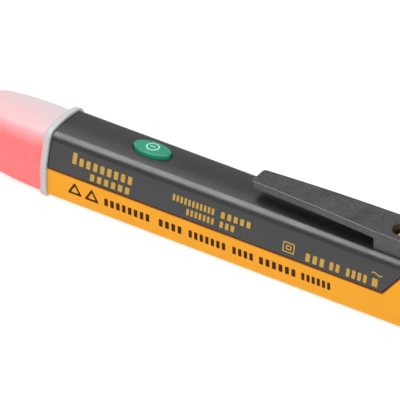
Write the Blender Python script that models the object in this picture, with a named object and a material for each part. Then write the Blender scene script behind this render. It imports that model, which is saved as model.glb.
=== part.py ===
"""Pen-type non-contact voltage tester, modelled as separate working pieces.

Every piece is laid out from the shoulder, the plane where the nib's collar meets the two housings:
x runs back from there to the tail, y across, z up from the underside of the body.
The empty "tester_frame" carries that layout to the part's own origin, which is centred under the
tester on the surface that it lies on. Moving pieces have their origin on their joint's axis.
"""

import math

import bmesh
import bpy
from mathutils import Matrix, Vector

MM = 0.001

# Overall size
LENGTH = 149.0 * MM
NIB_LENGTH = 35.5 * MM
TAIL_X = LENGTH - NIB_LENGTH
RIM_PROUD = 0.7 * MM
FIT_GAP = 0.3 * MM

# Body section: corners of the outline before they are rounded
HALF_WIDTH = 9.2 * MM
KNUCKLE_Z = 8.4 * MM
SHOULDER_HALF = 6.9 * MM
SHOULDER_Z = 17.3 * MM
APEX_Z = 18.28 * MM
EDGE_RADIUS = 0.8 * MM
KNUCKLE_RADIUS = 6.0 * MM
SHOULDER_RADIUS = 2.8 * MM
CROWN_RADIUS = 28.0 * MM
SMALLEST_RADIUS = 0.25 * MM

# Reach of the cutters beyond the pieces that they trim
CUT_FRONT_X = -10.0 * MM
CUT_HALF_WIDTH = 15.0 * MM
CUT_TOP_Z = 30.0 * MM
OVERRUN = 1.0 * MM

# Walls of the two housings
UPPER_WALL = 1.2 * MM
LIP_WALL = 0.5 * MM
LOWER_WALL = UPPER_WALL + FIT_GAP + LIP_WALL
LIP_RISE = 1.2 * MM
SEAM_Z = 8.55 * MM
SEAM_END_X = 100.7 * MM
SEAM_CORNER_RADIUS = 1.5 * MM
SLANT_ANGLE = math.radians(51.0)
HOUSING_END_X = 109.5 * MM
SADDLE_XS = (20.0 * MM, 38.0 * MM, 56.0 * MM, 76.0 * MM, 98.0 * MM)
SADDLE_LENGTH = 1.2 * MM
SADDLE_TOP_Z = 7.2 * MM
WALL_OVERLAP = 0.4 * MM

# Nib
COLLAR_LENGTH = 1.3 * MM
SPIGOT_LENGTH = 4.0 * MM
SPIGOT_WALL = 0.9 * MM
NIB_WALL = 1.4 * MM
BLADE_WALL = 1.0 * MM
# Nib stations, mm: distance ahead of the shoulder, half width, underside height, top height
NIB_STATIONS = (
    (1.3, 9.05, 0.10, 17.30),
    (6.0, 9.02, 0.24, 17.30),
    (10.0, 8.92, 0.45, 17.28),
    (14.0, 8.72, 0.82, 17.18),
    (17.5, 8.38, 1.32, 16.98),
    (20.0, 8.05, 1.78, 16.80),
    (22.0, 7.72, 2.25, 16.62),
    (24.0, 6.85, 2.90, 16.05),
    (25.6, 5.40, 3.60, 15.15),
    (27.0, 3.80, 4.20, 14.20),
    (28.3, 2.60, 4.65, 13.55),
    (30.0, 1.95, 4.95, 13.15),
    (33.0, 1.70, 5.25, 12.85),
    (34.6, 1.45, 5.60, 12.50),
    (35.3, 1.00, 6.20, 11.90),
    (35.5, 0.55, 6.80, 11.30),
)
NIB_CAVITY_END = 31.0
COLLAR_EDGE = 0.3 * MM

# Button and switch
BUTTON_X = 26.2 * MM
BUTTON_LENGTH = 10.9 * MM
BUTTON_WIDTH = 5.5 * MM
BUTTON_TOP_Z = 19.25 * MM
BUTTON_SHOULDER_Z = 18.45 * MM
BUTTON_FLANGE = 0.8 * MM
BUTTON_FLANGE_TOP_Z = 16.2 * MM
BUTTON_FLANGE_BOTTOM_Z = 15.75 * MM
PLUNGER_RADIUS = 1.0 * MM
PLUNGER_TOP_Z = BUTTON_FLANGE_BOTTOM_Z - FIT_GAP
PLUNGER_BOTTOM_Z = 14.7 * MM
SWITCH_SIDE = 4.6 * MM
SWITCH_TOP_Z = 15.0 * MM
SWITCH_CORNER = 0.5 * MM
WELL_DEPTH = 1.0 * MM
PLUNGER_EDGE = 0.1 * MM

# Circuit board and its parts
BOARD_X = (4.4 * MM, 62.0 * MM)
BOARD_HALF_WIDTH = 5.2 * MM
BOARD_BOTTOM_Z = 13.1 * MM
BOARD_TOP_Z = 13.9 * MM
BOARD_CORNER = 0.8 * MM
PARTS_Z = BOARD_TOP_Z + FIT_GAP
CHIP_X = (38.0 * MM, 42.9 * MM)
CHIP_HALF = 1.95 * MM
CHIP_HEIGHT = 1.4 * MM
LEG_PITCH = 1.27 * MM
LEG_HALF = 0.2 * MM
LEG_REACH = 3.0 * MM
CAPACITOR_X = (47.0 * MM, 50.5 * MM)
CAPACITOR_HALF = 1.4 * MM
CAPACITOR_HEIGHT = 1.7 * MM
RESISTOR_X = (33.2 * MM, 34.8 * MM)
RESISTOR_HALF = 1.6 * MM
RESISTOR_HEIGHT = 0.6 * MM
BUZZER_X = 10.3 * MM
BUZZER_RADIUS = 4.2 * MM
BUZZER_BOTTOM_Z = 8.9 * MM
PORT_RADIUS = 0.7 * MM
PORT_DEPTH = 0.9 * MM

# Lamps and their holder
LAMP_Y = 2.6 * MM
LAMP_Z = 9.6 * MM
LAMP_RADIUS = 1.5 * MM
LAMP_FRONT_X = -5.0 * MM
LAMP_RIM = 0.35 * MM
HOLDER_X = (0.6 * MM, 2.6 * MM)
HOLDER_HALF = 4.6 * MM
HOLDER_Z = (6.4 * MM, 12.7 * MM)
LEAD = 0.5 * MM
LEAD_SPREAD = 0.65 * MM
LEAD_FRONT_X = 3.3 * MM
LEAD_BACK_X = 5.2 * MM

# Cells: AAA size
CELL_RADIUS = 5.25 * MM
CELL_LENGTH = 44.5 * MM
NUB_LENGTH = 0.8 * MM
NUB_RADIUS = 1.9 * MM
CELL_AXIS_Z = LOWER_WALL + FIT_GAP + CELL_RADIUS
FRONT_CELL_X = 15.6 * MM
REAR_CELL_X = FRONT_CELL_X + CELL_LENGTH + FIT_GAP
CELL_END_X = REAR_CELL_X + CELL_LENGTH
CELL_EDGE = 0.4 * MM
NUB_EDGE = 0.15 * MM

# Contacts
SHEET = 0.4 * MM
FRONT_PLATE_X = FRONT_CELL_X - FIT_GAP
FRONT_PLATE_HALF = 3.6 * MM
FRONT_PLATE_BOTTOM_Z = 4.4 * MM
FOOT_HALF = 1.2 * MM
TAIL_PLATE_X = (109.1 * MM, 109.5 * MM)
TAIL_PLATE_HALF = 3.4 * MM
TAIL_PLATE_Z = (4.7 * MM, 12.3 * MM)
# Antenna outline, mm: x and z
ANTENNA_OUTLINE = (
    (8.0, 14.2),
    (4.1, 14.2),
    (3.2, 13.4),
    (0.0, 13.3),
    (-4.0, 12.0),
    (-16.0, 8.0),
    (-30.4, 8.0),
    (-30.4, 10.4),
    (-17.0, 10.4),
    (-3.0, 14.0),
    (3.6, 14.3),
    (4.2, 15.0),
    (8.0, 15.0),
)
SPRING_WIRE = 0.3 * MM
SPRING_RADII = (2.6 * MM, 2.0 * MM)
SPRING_TURNS = 3.25
STRIP_X = (57.0 * MM, 105.6 * MM)
STRIP_Z = (14.2 * MM, 14.5 * MM)
STRIP_TAB_Z = 13.4 * MM
STRIP_HALF = 1.25 * MM

# Tail cap, clip and latch
CAP_PLATE_X = HOUSING_END_X + FIT_GAP
PLUG_START_X = 105.9 * MM
SEAL_THICKNESS = 0.7 * MM
SEAL_X = (106.4 * MM, 107.8 * MM)
PLUG_OFFSET = LOWER_WALL + SEAL_THICKNESS + 2 * FIT_GAP
PLUG_WALL = 1.0 * MM
PLATE_CORNER = 0.8 * MM
ROOT_INSET = 1.0 * MM
ROOT_BOTTOM_Z = 16.0 * MM
ROOT_REAR_Z = 20.2 * MM
ROOT_SLOPE_X = 107.5 * MM
FOOT_X = 95.6 * MM
FOOT_BOTTOM_Z = 18.35 * MM
CLIP_TOP_Z = 22.75 * MM
CLIP_THICKNESS = 2.0 * MM
CLIP_TIP_X = 57.8 * MM
CLIP_TIP_HALF = 3.25 * MM
CLIP_ROOT_HALF = 5.15 * MM
CLIP_ARCH = 0.25 * MM
HOLE_X = (98.4 * MM, 107.6 * MM)
HOLE_HALF = 2.75 * MM
CHANNEL_END_X = 108.4 * MM
CHANNEL_BOTTOM_Z = 15.5 * MM
CHANNEL_TOP_Z = 20.75 * MM
CLIP_EDGE = 0.35 * MM
TIP_ROUND = 0.9 * MM
PAD_TOP_Z = 20.4 * MM
PAD_HALF = 2.1 * MM
PAD_X = (99.4 * MM, 104.6 * MM)
TONGUE_HALF = 2.6 * MM
TONGUE_X = (97.2 * MM, 107.6 * MM)
TONGUE_Z = (16.75 * MM, 17.85 * MM)
POCKET_BOTTOM_Z = 14.9 * MM
PAD_OVERLAP = 0.4 * MM
PAD_CORNER = 1.2 * MM
PAD_EDGE = 0.35 * MM


def outline(inset=0.0):
    """Rounded body section as (y, z) points, moved inward by inset."""
    corners = (
        (-HALF_WIDTH, 0.0, EDGE_RADIUS, 3),
        (HALF_WIDTH, 0.0, EDGE_RADIUS, 3),
        (HALF_WIDTH, KNUCKLE_Z, KNUCKLE_RADIUS, 2),
        (SHOULDER_HALF, SHOULDER_Z, SHOULDER_RADIUS, 5),
        (0.0, APEX_Z, CROWN_RADIUS, 6),
        (-SHOULDER_HALF, SHOULDER_Z, SHOULDER_RADIUS, 5),
        (-HALF_WIDTH, KNUCKLE_Z, KNUCKLE_RADIUS, 2),
    )
    return rounded_polygon(corners, inset)


def rounded_polygon(corners, inset=0.0):
    """Round the corners (u, v, radius, steps) of a counter-clockwise polygon moved inward by inset."""
    points = [Vector((u, v)) for u, v, _radius, _steps in corners]
    count = len(points)
    moved = []
    for i in range(count):
        before = (points[i] - points[i - 1]).normalized()
        after = (points[(i + 1) % count] - points[i]).normalized()
        left_before = Vector((-before.y, before.x))
        left_after = Vector((-after.y, after.x))
        mitre = (left_before + left_after) / (1.0 + left_before.dot(left_after))
        moved.append(points[i] + mitre * inset)
    rounded = []
    for i, (_u, _v, radius, steps) in enumerate(corners):
        if radius == 0.0:
            rounded.append(moved[i])
            continue
        before = (moved[i] - moved[i - 1]).normalized()
        after = (moved[(i + 1) % count] - moved[i]).normalized()
        turn = math.atan2(before.cross(after), before.dot(after))
        side = math.copysign(1.0, turn)
        arc_radius = max(radius - side * inset, SMALLEST_RADIUS)
        start = moved[i] - before * arc_radius * math.tan(abs(turn) / 2)
        centre = start + Vector((-before.y, before.x)) * arc_radius * side
        for step in range(steps + 1):
            swing = Matrix.Rotation(turn * step / steps, 2)
            rounded.append(centre + swing @ (start - centre))
    return [(point.x, point.y) for point in rounded]


def circle(radius, centre=(0.0, 0.0), steps=24):
    """Circle of (u, v) points."""
    angles = [math.tau * i / steps for i in range(steps)]
    return [(centre[0] + radius * math.cos(a), centre[1] + radius * math.sin(a)) for a in angles]


def ellipse(length, width, steps=36):
    """Ellipse of (u, v) points."""
    angles = [math.tau * i / steps for i in range(steps)]
    return [(length / 2 * math.cos(a), width / 2 * math.sin(a)) for a in angles]


def box_corners(u_range, v_range, radius=0.0, steps=3):
    """Corners of a rectangle for rounded_polygon."""
    return (
        (u_range[0], v_range[0], radius, steps),
        (u_range[1], v_range[0], radius, steps),
        (u_range[1], v_range[1], radius, steps),
        (u_range[0], v_range[1], radius, steps),
    )


def ring_at_x(points, x):
    """Place (y, z) points in the plane at x."""
    return [Vector((x, y, z)) for y, z in points]


def ring_at_z(points, z, centre=(0.0, 0.0)):
    """Place (x, y) points in the plane at z."""
    return [Vector((centre[0] + x, centre[1] + y, z)) for x, y in points]


def ring_at_y(points, y):
    """Place (x, z) points in the plane at y."""
    return [Vector((x, y, z)) for x, z in points]


def loft(name, rings, closed=False):
    """Skin a row of equal rings. A closed row wraps round to its first ring, an open one is capped."""
    bm = bmesh.new()
    rows = [[bm.verts.new(point) for point in ring] for ring in rings]
    pairs = list(zip(rows, rows[1:]))
    if closed:
        pairs.append((rows[-1], rows[0]))
    else:
        bm.faces.new(rows[0])
        bm.faces.new(rows[-1])
    for lower, upper in pairs:
        for i in range(len(lower)):
            j = (i + 1) % len(lower)
            bm.faces.new((lower[i], lower[j], upper[j], upper[i]))
    bmesh.ops.recalc_face_normals(bm, faces=bm.faces)
    mesh = bpy.data.meshes.new(name)
    bm.to_mesh(mesh)
    bm.free()
    obj = bpy.data.objects.new(name, mesh)
    bpy.context.scene.collection.objects.link(obj)
    return obj


def tube(name, outer_inset, inner_inset, x_range):
    """Length of the body section with a wall between two insets."""
    outer = outline(outer_inset)
    inner = outline(inner_inset)
    rings = (
        ring_at_x(outer, x_range[0]),
        ring_at_x(outer, x_range[1]),
        ring_at_x(inner, x_range[1]),
        ring_at_x(inner, x_range[0]),
    )
    return loft(name, rings, closed=True)


def block(name, x_range, y_range, z_range, radius=0.0):
    """Box with its upright edges rounded."""
    points = rounded_polygon(box_corners(x_range, y_range, radius))
    return loft(name, (ring_at_z(points, z_range[0]), ring_at_z(points, z_range[1])))


def side_profile(name, points, y_range):
    """Solid of an (x, z) outline, between two values of y."""
    return loft(name, (ring_at_y(points, y_range[0]), ring_at_y(points, y_range[1])))


def turned(name, profile, centre, axis, steps=24):
    """Turn a profile of (along, radius) points about an axis through centre."""
    to_axis = Vector((0, 0, 1)).rotation_difference(Vector(axis)).to_matrix()
    rings = [
        [to_axis @ Vector((u, v, along)) + Vector(centre) for u, v in circle(radius, steps=steps)]
        for along, radius in profile
    ]
    return loft(name, rings)


def helper(obj):
    """Mark a solid as a cutter or a building block that isn't part of the object."""
    obj.hide_render = True
    obj.display_type = "WIRE"
    return obj


def combine(obj, operation, other, solver="EXACT"):
    """Boolean between a piece and a helper solid."""
    modifier = obj.modifiers.new(operation.lower(), "BOOLEAN")
    modifier.operation = operation
    modifier.solver = solver
    modifier.object = helper(other)


def bevel_edges(obj, width, segments=2, angle=40.0):
    """Round the sharp edges of a piece."""
    modifier = obj.modifiers.new("edges", "BEVEL")
    modifier.width = width
    modifier.segments = segments
    modifier.limit_method = "ANGLE"
    modifier.angle_limit = math.radians(angle)


def material(name, colour, roughness, metallic=0.0):
    """Plain Principled material, made once for each name."""
    found = bpy.data.materials.get(name)
    if found:
        return found
    made = bpy.data.materials.new(name)
    made.use_nodes = True
    shader = made.node_tree.nodes["Principled BSDF"]
    shader.inputs["Base Color"].default_value = (*colour, 1.0)
    shader.inputs["Roughness"].default_value = roughness
    shader.inputs["Metallic"].default_value = metallic
    return made


def dark_plastic():
    return material("dark_plastic", (0.06, 0.06, 0.06), 0.45)


def yellow_plastic():
    return material("yellow_plastic", (0.87, 0.36, 0.045), 0.4)


def nickel():
    return material("nickel", (0.72, 0.70, 0.66), 0.3, 1.0)


def finish(obj, surface, frame, pivot=(0.0, 0.0, 0.0), sharp_angle=35.0):
    """Colour and smooth a piece, and put its origin on its pivot."""
    obj.data.transform(Matrix.Translation(-Vector(pivot)))
    obj.location = pivot
    obj.parent = frame
    obj.data.materials.append(surface)
    obj.data.shade_smooth()
    obj.data.set_sharp_from_angle(angle=math.radians(sharp_angle))
    return obj


def upper_region(name, shrink):
    """Everything above the seam and ahead of the slanted end, made smaller by shrink."""
    slant_run = (CUT_TOP_Z - SEAM_Z) / math.tan(SLANT_ANGLE)
    corners = (
        (CUT_FRONT_X, SEAM_Z, 0.0, 0),
        (SEAM_END_X, SEAM_Z, SEAM_CORNER_RADIUS, 5),
        (SEAM_END_X + slant_run, CUT_TOP_Z, 0.0, 0),
        (CUT_FRONT_X, CUT_TOP_Z, 0.0, 0),
    )
    return side_profile(name, rounded_polygon(corners, shrink), (-CUT_HALF_WIDTH, CUT_HALF_WIDTH))


def tongue_pocket(name):
    """Space that the latch tongue lies and flexes in."""
    x_range = (TONGUE_X[0] - FIT_GAP, TONGUE_X[1] + FIT_GAP)
    half = TONGUE_HALF + FIT_GAP
    return block(name, x_range, (-half, half), (POCKET_BOTTOM_Z, CUT_TOP_Z))


def make_upper_housing(frame):
    """Dark shell above the seam, with the button's opening."""
    shell = tube("upper_housing", 0.0, UPPER_WALL, (0.0, HOUSING_END_X))
    combine(shell, "INTERSECT", upper_region("upper_keep", FIT_GAP / 2))
    opening = ellipse(BUTTON_LENGTH + 2 * FIT_GAP, BUTTON_WIDTH + 2 * FIT_GAP)
    centre = (BUTTON_X, 0.0)
    opening_rings = (ring_at_z(opening, SWITCH_TOP_Z, centre), ring_at_z(opening, CUT_TOP_Z, centre))
    combine(shell, "DIFFERENCE", loft("button_opening", opening_rings))
    combine(shell, "DIFFERENCE", tongue_pocket("upper_tongue_pocket"))
    finish(shell, dark_plastic(), frame)


def make_lower_housing(frame):
    """Yellow trough that closes to a ring at the tail, with a lip inside the seam and cell saddles."""
    shell = tube("lower_housing", 0.0, LOWER_WALL, (0.0, HOUSING_END_X))
    rebate_x = (-OVERRUN, HOUSING_END_X + OVERRUN)
    rebate = tube("lower_rebate", -OVERRUN, UPPER_WALL + FIT_GAP, rebate_x)
    combine(rebate, "INTERSECT", upper_region("lower_rebate_region", -FIT_GAP / 2), "MANIFOLD")
    combine(shell, "DIFFERENCE", rebate, "MANIFOLD")
    combine(shell, "DIFFERENCE", upper_region("above_lip", LIP_RISE), "MANIFOLD")
    combine(shell, "DIFFERENCE", tongue_pocket("lower_tongue_pocket"), "MANIFOLD")
    base = LOWER_WALL - WALL_OVERLAP
    half = HALF_WIDTH - base
    bore_radius = CELL_RADIUS + FIT_GAP
    bore_profile = ((-OVERRUN, bore_radius), (SADDLE_LENGTH + OVERRUN, bore_radius))
    for i, x in enumerate(SADDLE_XS):
        saddle = block(f"saddle_{i}", (x, x + SADDLE_LENGTH), (-half, half), (base, SADDLE_TOP_Z))
        bore = turned(f"saddle_bore_{i}", bore_profile, (x, 0.0, CELL_AXIS_Z), (1, 0, 0), 32)
        combine(saddle, "DIFFERENCE", bore)
        combine(shell, "UNION", saddle, "MANIFOLD")
    finish(shell, yellow_plastic(), frame)


def nib_section(distance, wall):
    """Nib section at a distance in mm ahead of the shoulder, moved inward by wall."""
    for near, far in zip(NIB_STATIONS, NIB_STATIONS[1:]):
        if distance <= far[0]:
            break
    share = (distance - near[0]) / (far[0] - near[0])
    half, bottom, top = (MM * (a + (b - a) * share) for a, b in zip(near[1:], far[1:]))
    wide = (half - wall) / HALF_WIDTH
    crown = max(z for _y, z in outline())
    tall = (top - bottom - 2 * wall) / crown
    points = [(y * wide, bottom + wall + z * tall) for y, z in outline()]
    return ring_at_x(points, -distance * MM)


def make_nib(frame):
    """Hollow nib: spigot inside the housings, proud collar, taper and flat blade."""
    spigot_outer = outline(LOWER_WALL + FIT_GAP)
    spigot_inner = outline(LOWER_WALL + FIT_GAP + SPIGOT_WALL)
    collar = outline(-RIM_PROUD)
    collar_front = outline(-RIM_PROUD + COLLAR_EDGE)
    collar_back_x = -FIT_GAP
    cavity_distances = [station[0] for station in NIB_STATIONS if station[0] < NIB_CAVITY_END]
    cavity = []
    for distance in reversed([*cavity_distances, NIB_CAVITY_END]):
        blade_share = min(1.0, distance / NIB_CAVITY_END)
        wall = NIB_WALL + (BLADE_WALL - NIB_WALL) * blade_share
        cavity.append(nib_section(distance, wall))
    rings = [
        *cavity,
        ring_at_x(spigot_inner, 0.0),
        ring_at_x(spigot_inner, SPIGOT_LENGTH),
        ring_at_x(spigot_outer, SPIGOT_LENGTH),
        ring_at_x(spigot_outer, collar_back_x),
        ring_at_x(collar, collar_back_x),
        ring_at_x(collar, -COLLAR_LENGTH + COLLAR_EDGE),
        ring_at_x(collar_front, -COLLAR_LENGTH),
        *[nib_section(station[0], 0.0) for station in NIB_STATIONS],
    ]
    nib = loft("probe_nib", rings)
    finish(nib, material("nib_plastic", (0.95, 0.45, 0.45), 0.35), frame, sharp_angle=40.0)


def make_button(frame):
    """Domed oval button with a retaining flange under the roof."""
    dome = (
        (BUTTON_FLANGE_BOTTOM_Z, BUTTON_FLANGE),
        (BUTTON_FLANGE_TOP_Z, BUTTON_FLANGE),
        (BUTTON_FLANGE_TOP_Z, 0.0),
        (BUTTON_SHOULDER_Z, 0.0),
        (BUTTON_SHOULDER_Z + 0.35 * MM, -0.15 * MM),
        (BUTTON_TOP_Z - 0.2 * MM, -0.7 * MM),
        (BUTTON_TOP_Z - 0.04 * MM, -1.6 * MM),
        (BUTTON_TOP_Z, -2.3 * MM),
    )
    rings = [
        ring_at_z(ellipse(BUTTON_LENGTH + 2 * grow, BUTTON_WIDTH + 2 * grow), z, (BUTTON_X, 0.0))
        for z, grow in dome
    ]
    button = loft("power_button", rings)
    surface = material("green_button", (0.03, 0.30, 0.20), 0.3)
    finish(button, surface, frame, pivot=(BUTTON_X, 0.0, BUTTON_FLANGE_BOTTOM_Z), sharp_angle=50.0)


def make_switch(frame):
    """Tact switch: square body with a round well, and the plunger in it."""
    half = SWITCH_SIDE / 2
    body_x = (BUTTON_X - half, BUTTON_X + half)
    body = block("switch_body", body_x, (-half, half), (PARTS_Z, SWITCH_TOP_Z), SWITCH_CORNER)
    well_floor_z = SWITCH_TOP_Z - WELL_DEPTH
    well_radius = PLUNGER_RADIUS + FIT_GAP
    well_profile = ((well_floor_z, well_radius), (CUT_TOP_Z, well_radius))
    well = turned("switch_well", well_profile, (BUTTON_X, 0.0, 0.0), (0, 0, 1))
    combine(body, "DIFFERENCE", well)
    finish(body, material("switch_black", (0.03, 0.03, 0.03), 0.5), frame)
    plunger_profile = (
        (PLUNGER_BOTTOM_Z, PLUNGER_RADIUS - PLUNGER_EDGE),
        (PLUNGER_BOTTOM_Z + PLUNGER_EDGE, PLUNGER_RADIUS),
        (PLUNGER_TOP_Z - PLUNGER_EDGE, PLUNGER_RADIUS),
        (PLUNGER_TOP_Z, PLUNGER_RADIUS - PLUNGER_EDGE),
    )
    plunger = turned("switch_plunger", plunger_profile, (BUTTON_X, 0.0, 0.0), (0, 0, 1))
    surface = material("plunger_white", (0.8, 0.8, 0.78), 0.4)
    finish(plunger, surface, frame, pivot=(BUTTON_X, 0.0, PLUNGER_TOP_Z))


def make_board(frame):
    """Circuit board with its chip, capacitor, resistor and buzzer."""
    board_y = (-BOARD_HALF_WIDTH, BOARD_HALF_WIDTH)
    board = block("circuit_board", BOARD_X, board_y, (BOARD_BOTTOM_Z, BOARD_TOP_Z), BOARD_CORNER)
    finish(board, material("board_green", (0.02, 0.16, 0.07), 0.5), frame)

    chip_z = (PARTS_Z, PARTS_Z + CHIP_HEIGHT)
    chip = block("detector_chip", CHIP_X, (-CHIP_HALF, CHIP_HALF), chip_z)
    leg_z = (PARTS_Z - 0.1 * MM, PARTS_Z + 0.3 * MM)
    for i in range(4):
        x = (CHIP_X[0] + CHIP_X[1]) / 2 + (i - 1.5) * LEG_PITCH
        legs = block(f"chip_legs_{i}", (x - LEG_HALF, x + LEG_HALF), (-LEG_REACH, LEG_REACH), leg_z)
        combine(chip, "UNION", legs)
    finish(chip, material("chip_black", (0.02, 0.02, 0.02), 0.4), frame)

    capacitor_z = (PARTS_Z, PARTS_Z + CAPACITOR_HEIGHT)
    capacitor_y = (-CAPACITOR_HALF, CAPACITOR_HALF)
    capacitor = block("filter_capacitor", CAPACITOR_X, capacitor_y, capacitor_z)
    bevel_edges(capacitor, 0.2 * MM)
    finish(capacitor, material("capacitor_tan", (0.55, 0.33, 0.08), 0.5), frame)

    resistor_z = (PARTS_Z, PARTS_Z + RESISTOR_HEIGHT)
    resistor_y = (-RESISTOR_HALF, RESISTOR_HALF)
    resistor = block("timing_resistor", RESISTOR_X, resistor_y, resistor_z)
    bevel_edges(resistor, 0.1 * MM)
    finish(resistor, material("resistor_grey", (0.08, 0.08, 0.09), 0.5), frame)

    buzzer_edge = 0.3 * MM
    buzzer_profile = (
        (BUZZER_BOTTOM_Z, BUZZER_RADIUS - buzzer_edge),
        (BUZZER_BOTTOM_Z + buzzer_edge, BUZZER_RADIUS),
        (BOARD_BOTTOM_Z - FIT_GAP, BUZZER_RADIUS),
    )
    buzzer = turned("buzzer", buzzer_profile, (BUZZER_X, 0.0, 0.0), (0, 0, 1), 32)
    port_z = (BUZZER_BOTTOM_Z - OVERRUN, BUZZER_BOTTOM_Z + PORT_DEPTH)
    port_profile = ((port_z[0], PORT_RADIUS), (port_z[1], PORT_RADIUS))
    port = turned("buzzer_port", port_profile, (BUZZER_X, 0.0, 0.0), (0, 0, 1), 16)
    combine(buzzer, "DIFFERENCE", port)
    finish(buzzer, material("buzzer_black", (0.025, 0.025, 0.025), 0.45), frame)


def make_lead(name, y):
    """Bent lead of a lamp, from its base up to the board."""
    points = (
        (LEAD_FRONT_X, LAMP_Z - LEAD / 2),
        (LEAD_BACK_X + LEAD, LAMP_Z - LEAD / 2),
        (LEAD_BACK_X + LEAD, BOARD_BOTTOM_Z - FIT_GAP),
        (LEAD_BACK_X, BOARD_BOTTOM_Z - FIT_GAP),
        (LEAD_BACK_X, LAMP_Z + LEAD / 2),
        (LEAD_FRONT_X, LAMP_Z + LEAD / 2),
    )
    return side_profile(name, points, (y - LEAD / 2, y + LEAD / 2))


def make_glow_lamps(frame):
    """Two red lamps that light the nib, and the white holder that aims them."""
    holder = block("led_holder", HOLDER_X, (-HOLDER_HALF, HOLDER_HALF), HOLDER_Z)
    rim_x = HOLDER_X[1] + FIT_GAP
    lamp_profile = (
        (LAMP_FRONT_X, 0.30 * LAMP_RADIUS),
        (LAMP_FRONT_X + 0.2 * LAMP_RADIUS, 0.63 * LAMP_RADIUS),
        (LAMP_FRONT_X + 0.5 * LAMP_RADIUS, 0.89 * LAMP_RADIUS),
        (LAMP_FRONT_X + LAMP_RADIUS, LAMP_RADIUS),
        (rim_x, LAMP_RADIUS),
        (rim_x, LAMP_RADIUS + LAMP_RIM),
        (rim_x + 2 * FIT_GAP, LAMP_RADIUS + LAMP_RIM),
    )
    hole_radius = LAMP_RADIUS + FIT_GAP
    hole_profile = ((HOLDER_X[0] - OVERRUN, hole_radius), (HOLDER_X[1] + OVERRUN, hole_radius))
    for side, label in ((-1, "left"), (1, "right")):
        centre = (0.0, side * LAMP_Y, LAMP_Z)
        hole = turned(f"lamp_hole_{label}", hole_profile, centre, (1, 0, 0))
        combine(holder, "DIFFERENCE", hole)
        lamp = turned(f"glow_led_{label}", lamp_profile, centre, (1, 0, 0), 20)
        for spread, wire in ((-LEAD_SPREAD, "a"), (LEAD_SPREAD, "b")):
            combine(lamp, "UNION", make_lead(f"lead_{label}_{wire}", centre[1] + spread))
        finish(lamp, material("led_red", (0.7, 0.04, 0.04), 0.2), frame)
    finish(holder, material("holder_white", (0.85, 0.85, 0.83), 0.5), frame)


def make_antenna(frame):
    """Flat metal blade that carries the field from the nib's tip to the board."""
    half = SHEET / 2
    points = [(x * MM, z * MM) for x, z in ANTENNA_OUTLINE]
    blade = side_profile("sensor_antenna", points, (-half, half))
    finish(blade, material("brass", (0.72, 0.52, 0.2), 0.3, 1.0), frame)


def make_cells(frame):
    """Two AAA cells in line, nubs towards the tip."""
    profile = (
        (0.0, NUB_RADIUS - NUB_EDGE),
        (NUB_EDGE, NUB_RADIUS),
        (NUB_LENGTH, NUB_RADIUS),
        (NUB_LENGTH, CELL_RADIUS - CELL_EDGE),
        (NUB_LENGTH + CELL_EDGE, CELL_RADIUS),
        (CELL_LENGTH - CELL_EDGE, CELL_RADIUS),
        (CELL_LENGTH, CELL_RADIUS - CELL_EDGE),
    )
    jacket = material("cell_jacket", (0.5, 0.5, 0.52), 0.3, 0.6)
    for name, x in (("battery_front", FRONT_CELL_X), ("battery_rear", REAR_CELL_X)):
        centre = (x, 0.0, CELL_AXIS_Z)
        cell = turned(name, profile, centre, (1, 0, 0), 32)
        finish(cell, jacket, frame, pivot=centre)


def make_spring(frame):
    """Open coil of round wire along x that narrows towards the tail contact."""
    start_x = CELL_END_X + FIT_GAP + SPRING_WIRE
    length = TAIL_PLATE_X[0] - FIT_GAP - SPRING_WIRE - start_x
    curve = bpy.data.curves.new("tail_spring", "CURVE")
    curve.dimensions = "3D"
    curve.bevel_depth = SPRING_WIRE
    curve.bevel_resolution = 1
    curve.use_fill_caps = True
    steps = round(SPRING_TURNS * 14)
    spline = curve.splines.new("POLY")
    spline.points.add(steps)
    for i in range(steps + 1):
        share = i / steps
        angle = math.tau * SPRING_TURNS * share
        radius = SPRING_RADII[0] + (SPRING_RADII[1] - SPRING_RADII[0]) * share
        y = radius * math.cos(angle)
        z = CELL_AXIS_Z + radius * math.sin(angle)
        spline.points[i].co = (start_x + length * share, y, z, 1.0)
    spring = bpy.data.objects.new("tail_spring", curve)
    bpy.context.scene.collection.objects.link(spring)
    spring.data.materials.append(nickel())
    spring.parent = frame


def make_contacts(frame):
    """Front and tail contact plates, and the strip that joins the tail to the board."""
    plate_x = (FRONT_PLATE_X - SHEET, FRONT_PLATE_X)
    plate_z = (FRONT_PLATE_BOTTOM_Z, BOARD_BOTTOM_Z - FIT_GAP)
    plate = block("front_contact", plate_x, (-FRONT_PLATE_HALF, FRONT_PLATE_HALF), plate_z)
    foot_x = (plate_x[0] - 0.1 * MM, plate_x[1] - 0.1 * MM)
    foot_z = (LOWER_WALL + FIT_GAP, FRONT_PLATE_BOTTOM_Z + 0.2 * MM)
    combine(plate, "UNION", block("front_contact_foot", foot_x, (-FOOT_HALF, FOOT_HALF), foot_z))
    finish(plate, nickel(), frame)

    tail_plate_y = (-TAIL_PLATE_HALF, TAIL_PLATE_HALF)
    tail_plate = block("tail_contact", TAIL_PLATE_X, tail_plate_y, TAIL_PLATE_Z)
    bevel_edges(tail_plate, 0.1 * MM)
    finish(tail_plate, nickel(), frame)

    tab_x = STRIP_X[1] - (STRIP_Z[1] - STRIP_Z[0])
    strip_points = (
        (STRIP_X[0], STRIP_Z[0]),
        (tab_x, STRIP_Z[0]),
        (tab_x, STRIP_TAB_Z),
        (STRIP_X[1], STRIP_TAB_Z),
        (STRIP_X[1], STRIP_Z[1]),
        (STRIP_X[0], STRIP_Z[1]),
    )
    strip = side_profile("return_strip", strip_points, (-STRIP_HALF, STRIP_HALF))
    finish(strip, nickel(), frame)


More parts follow.
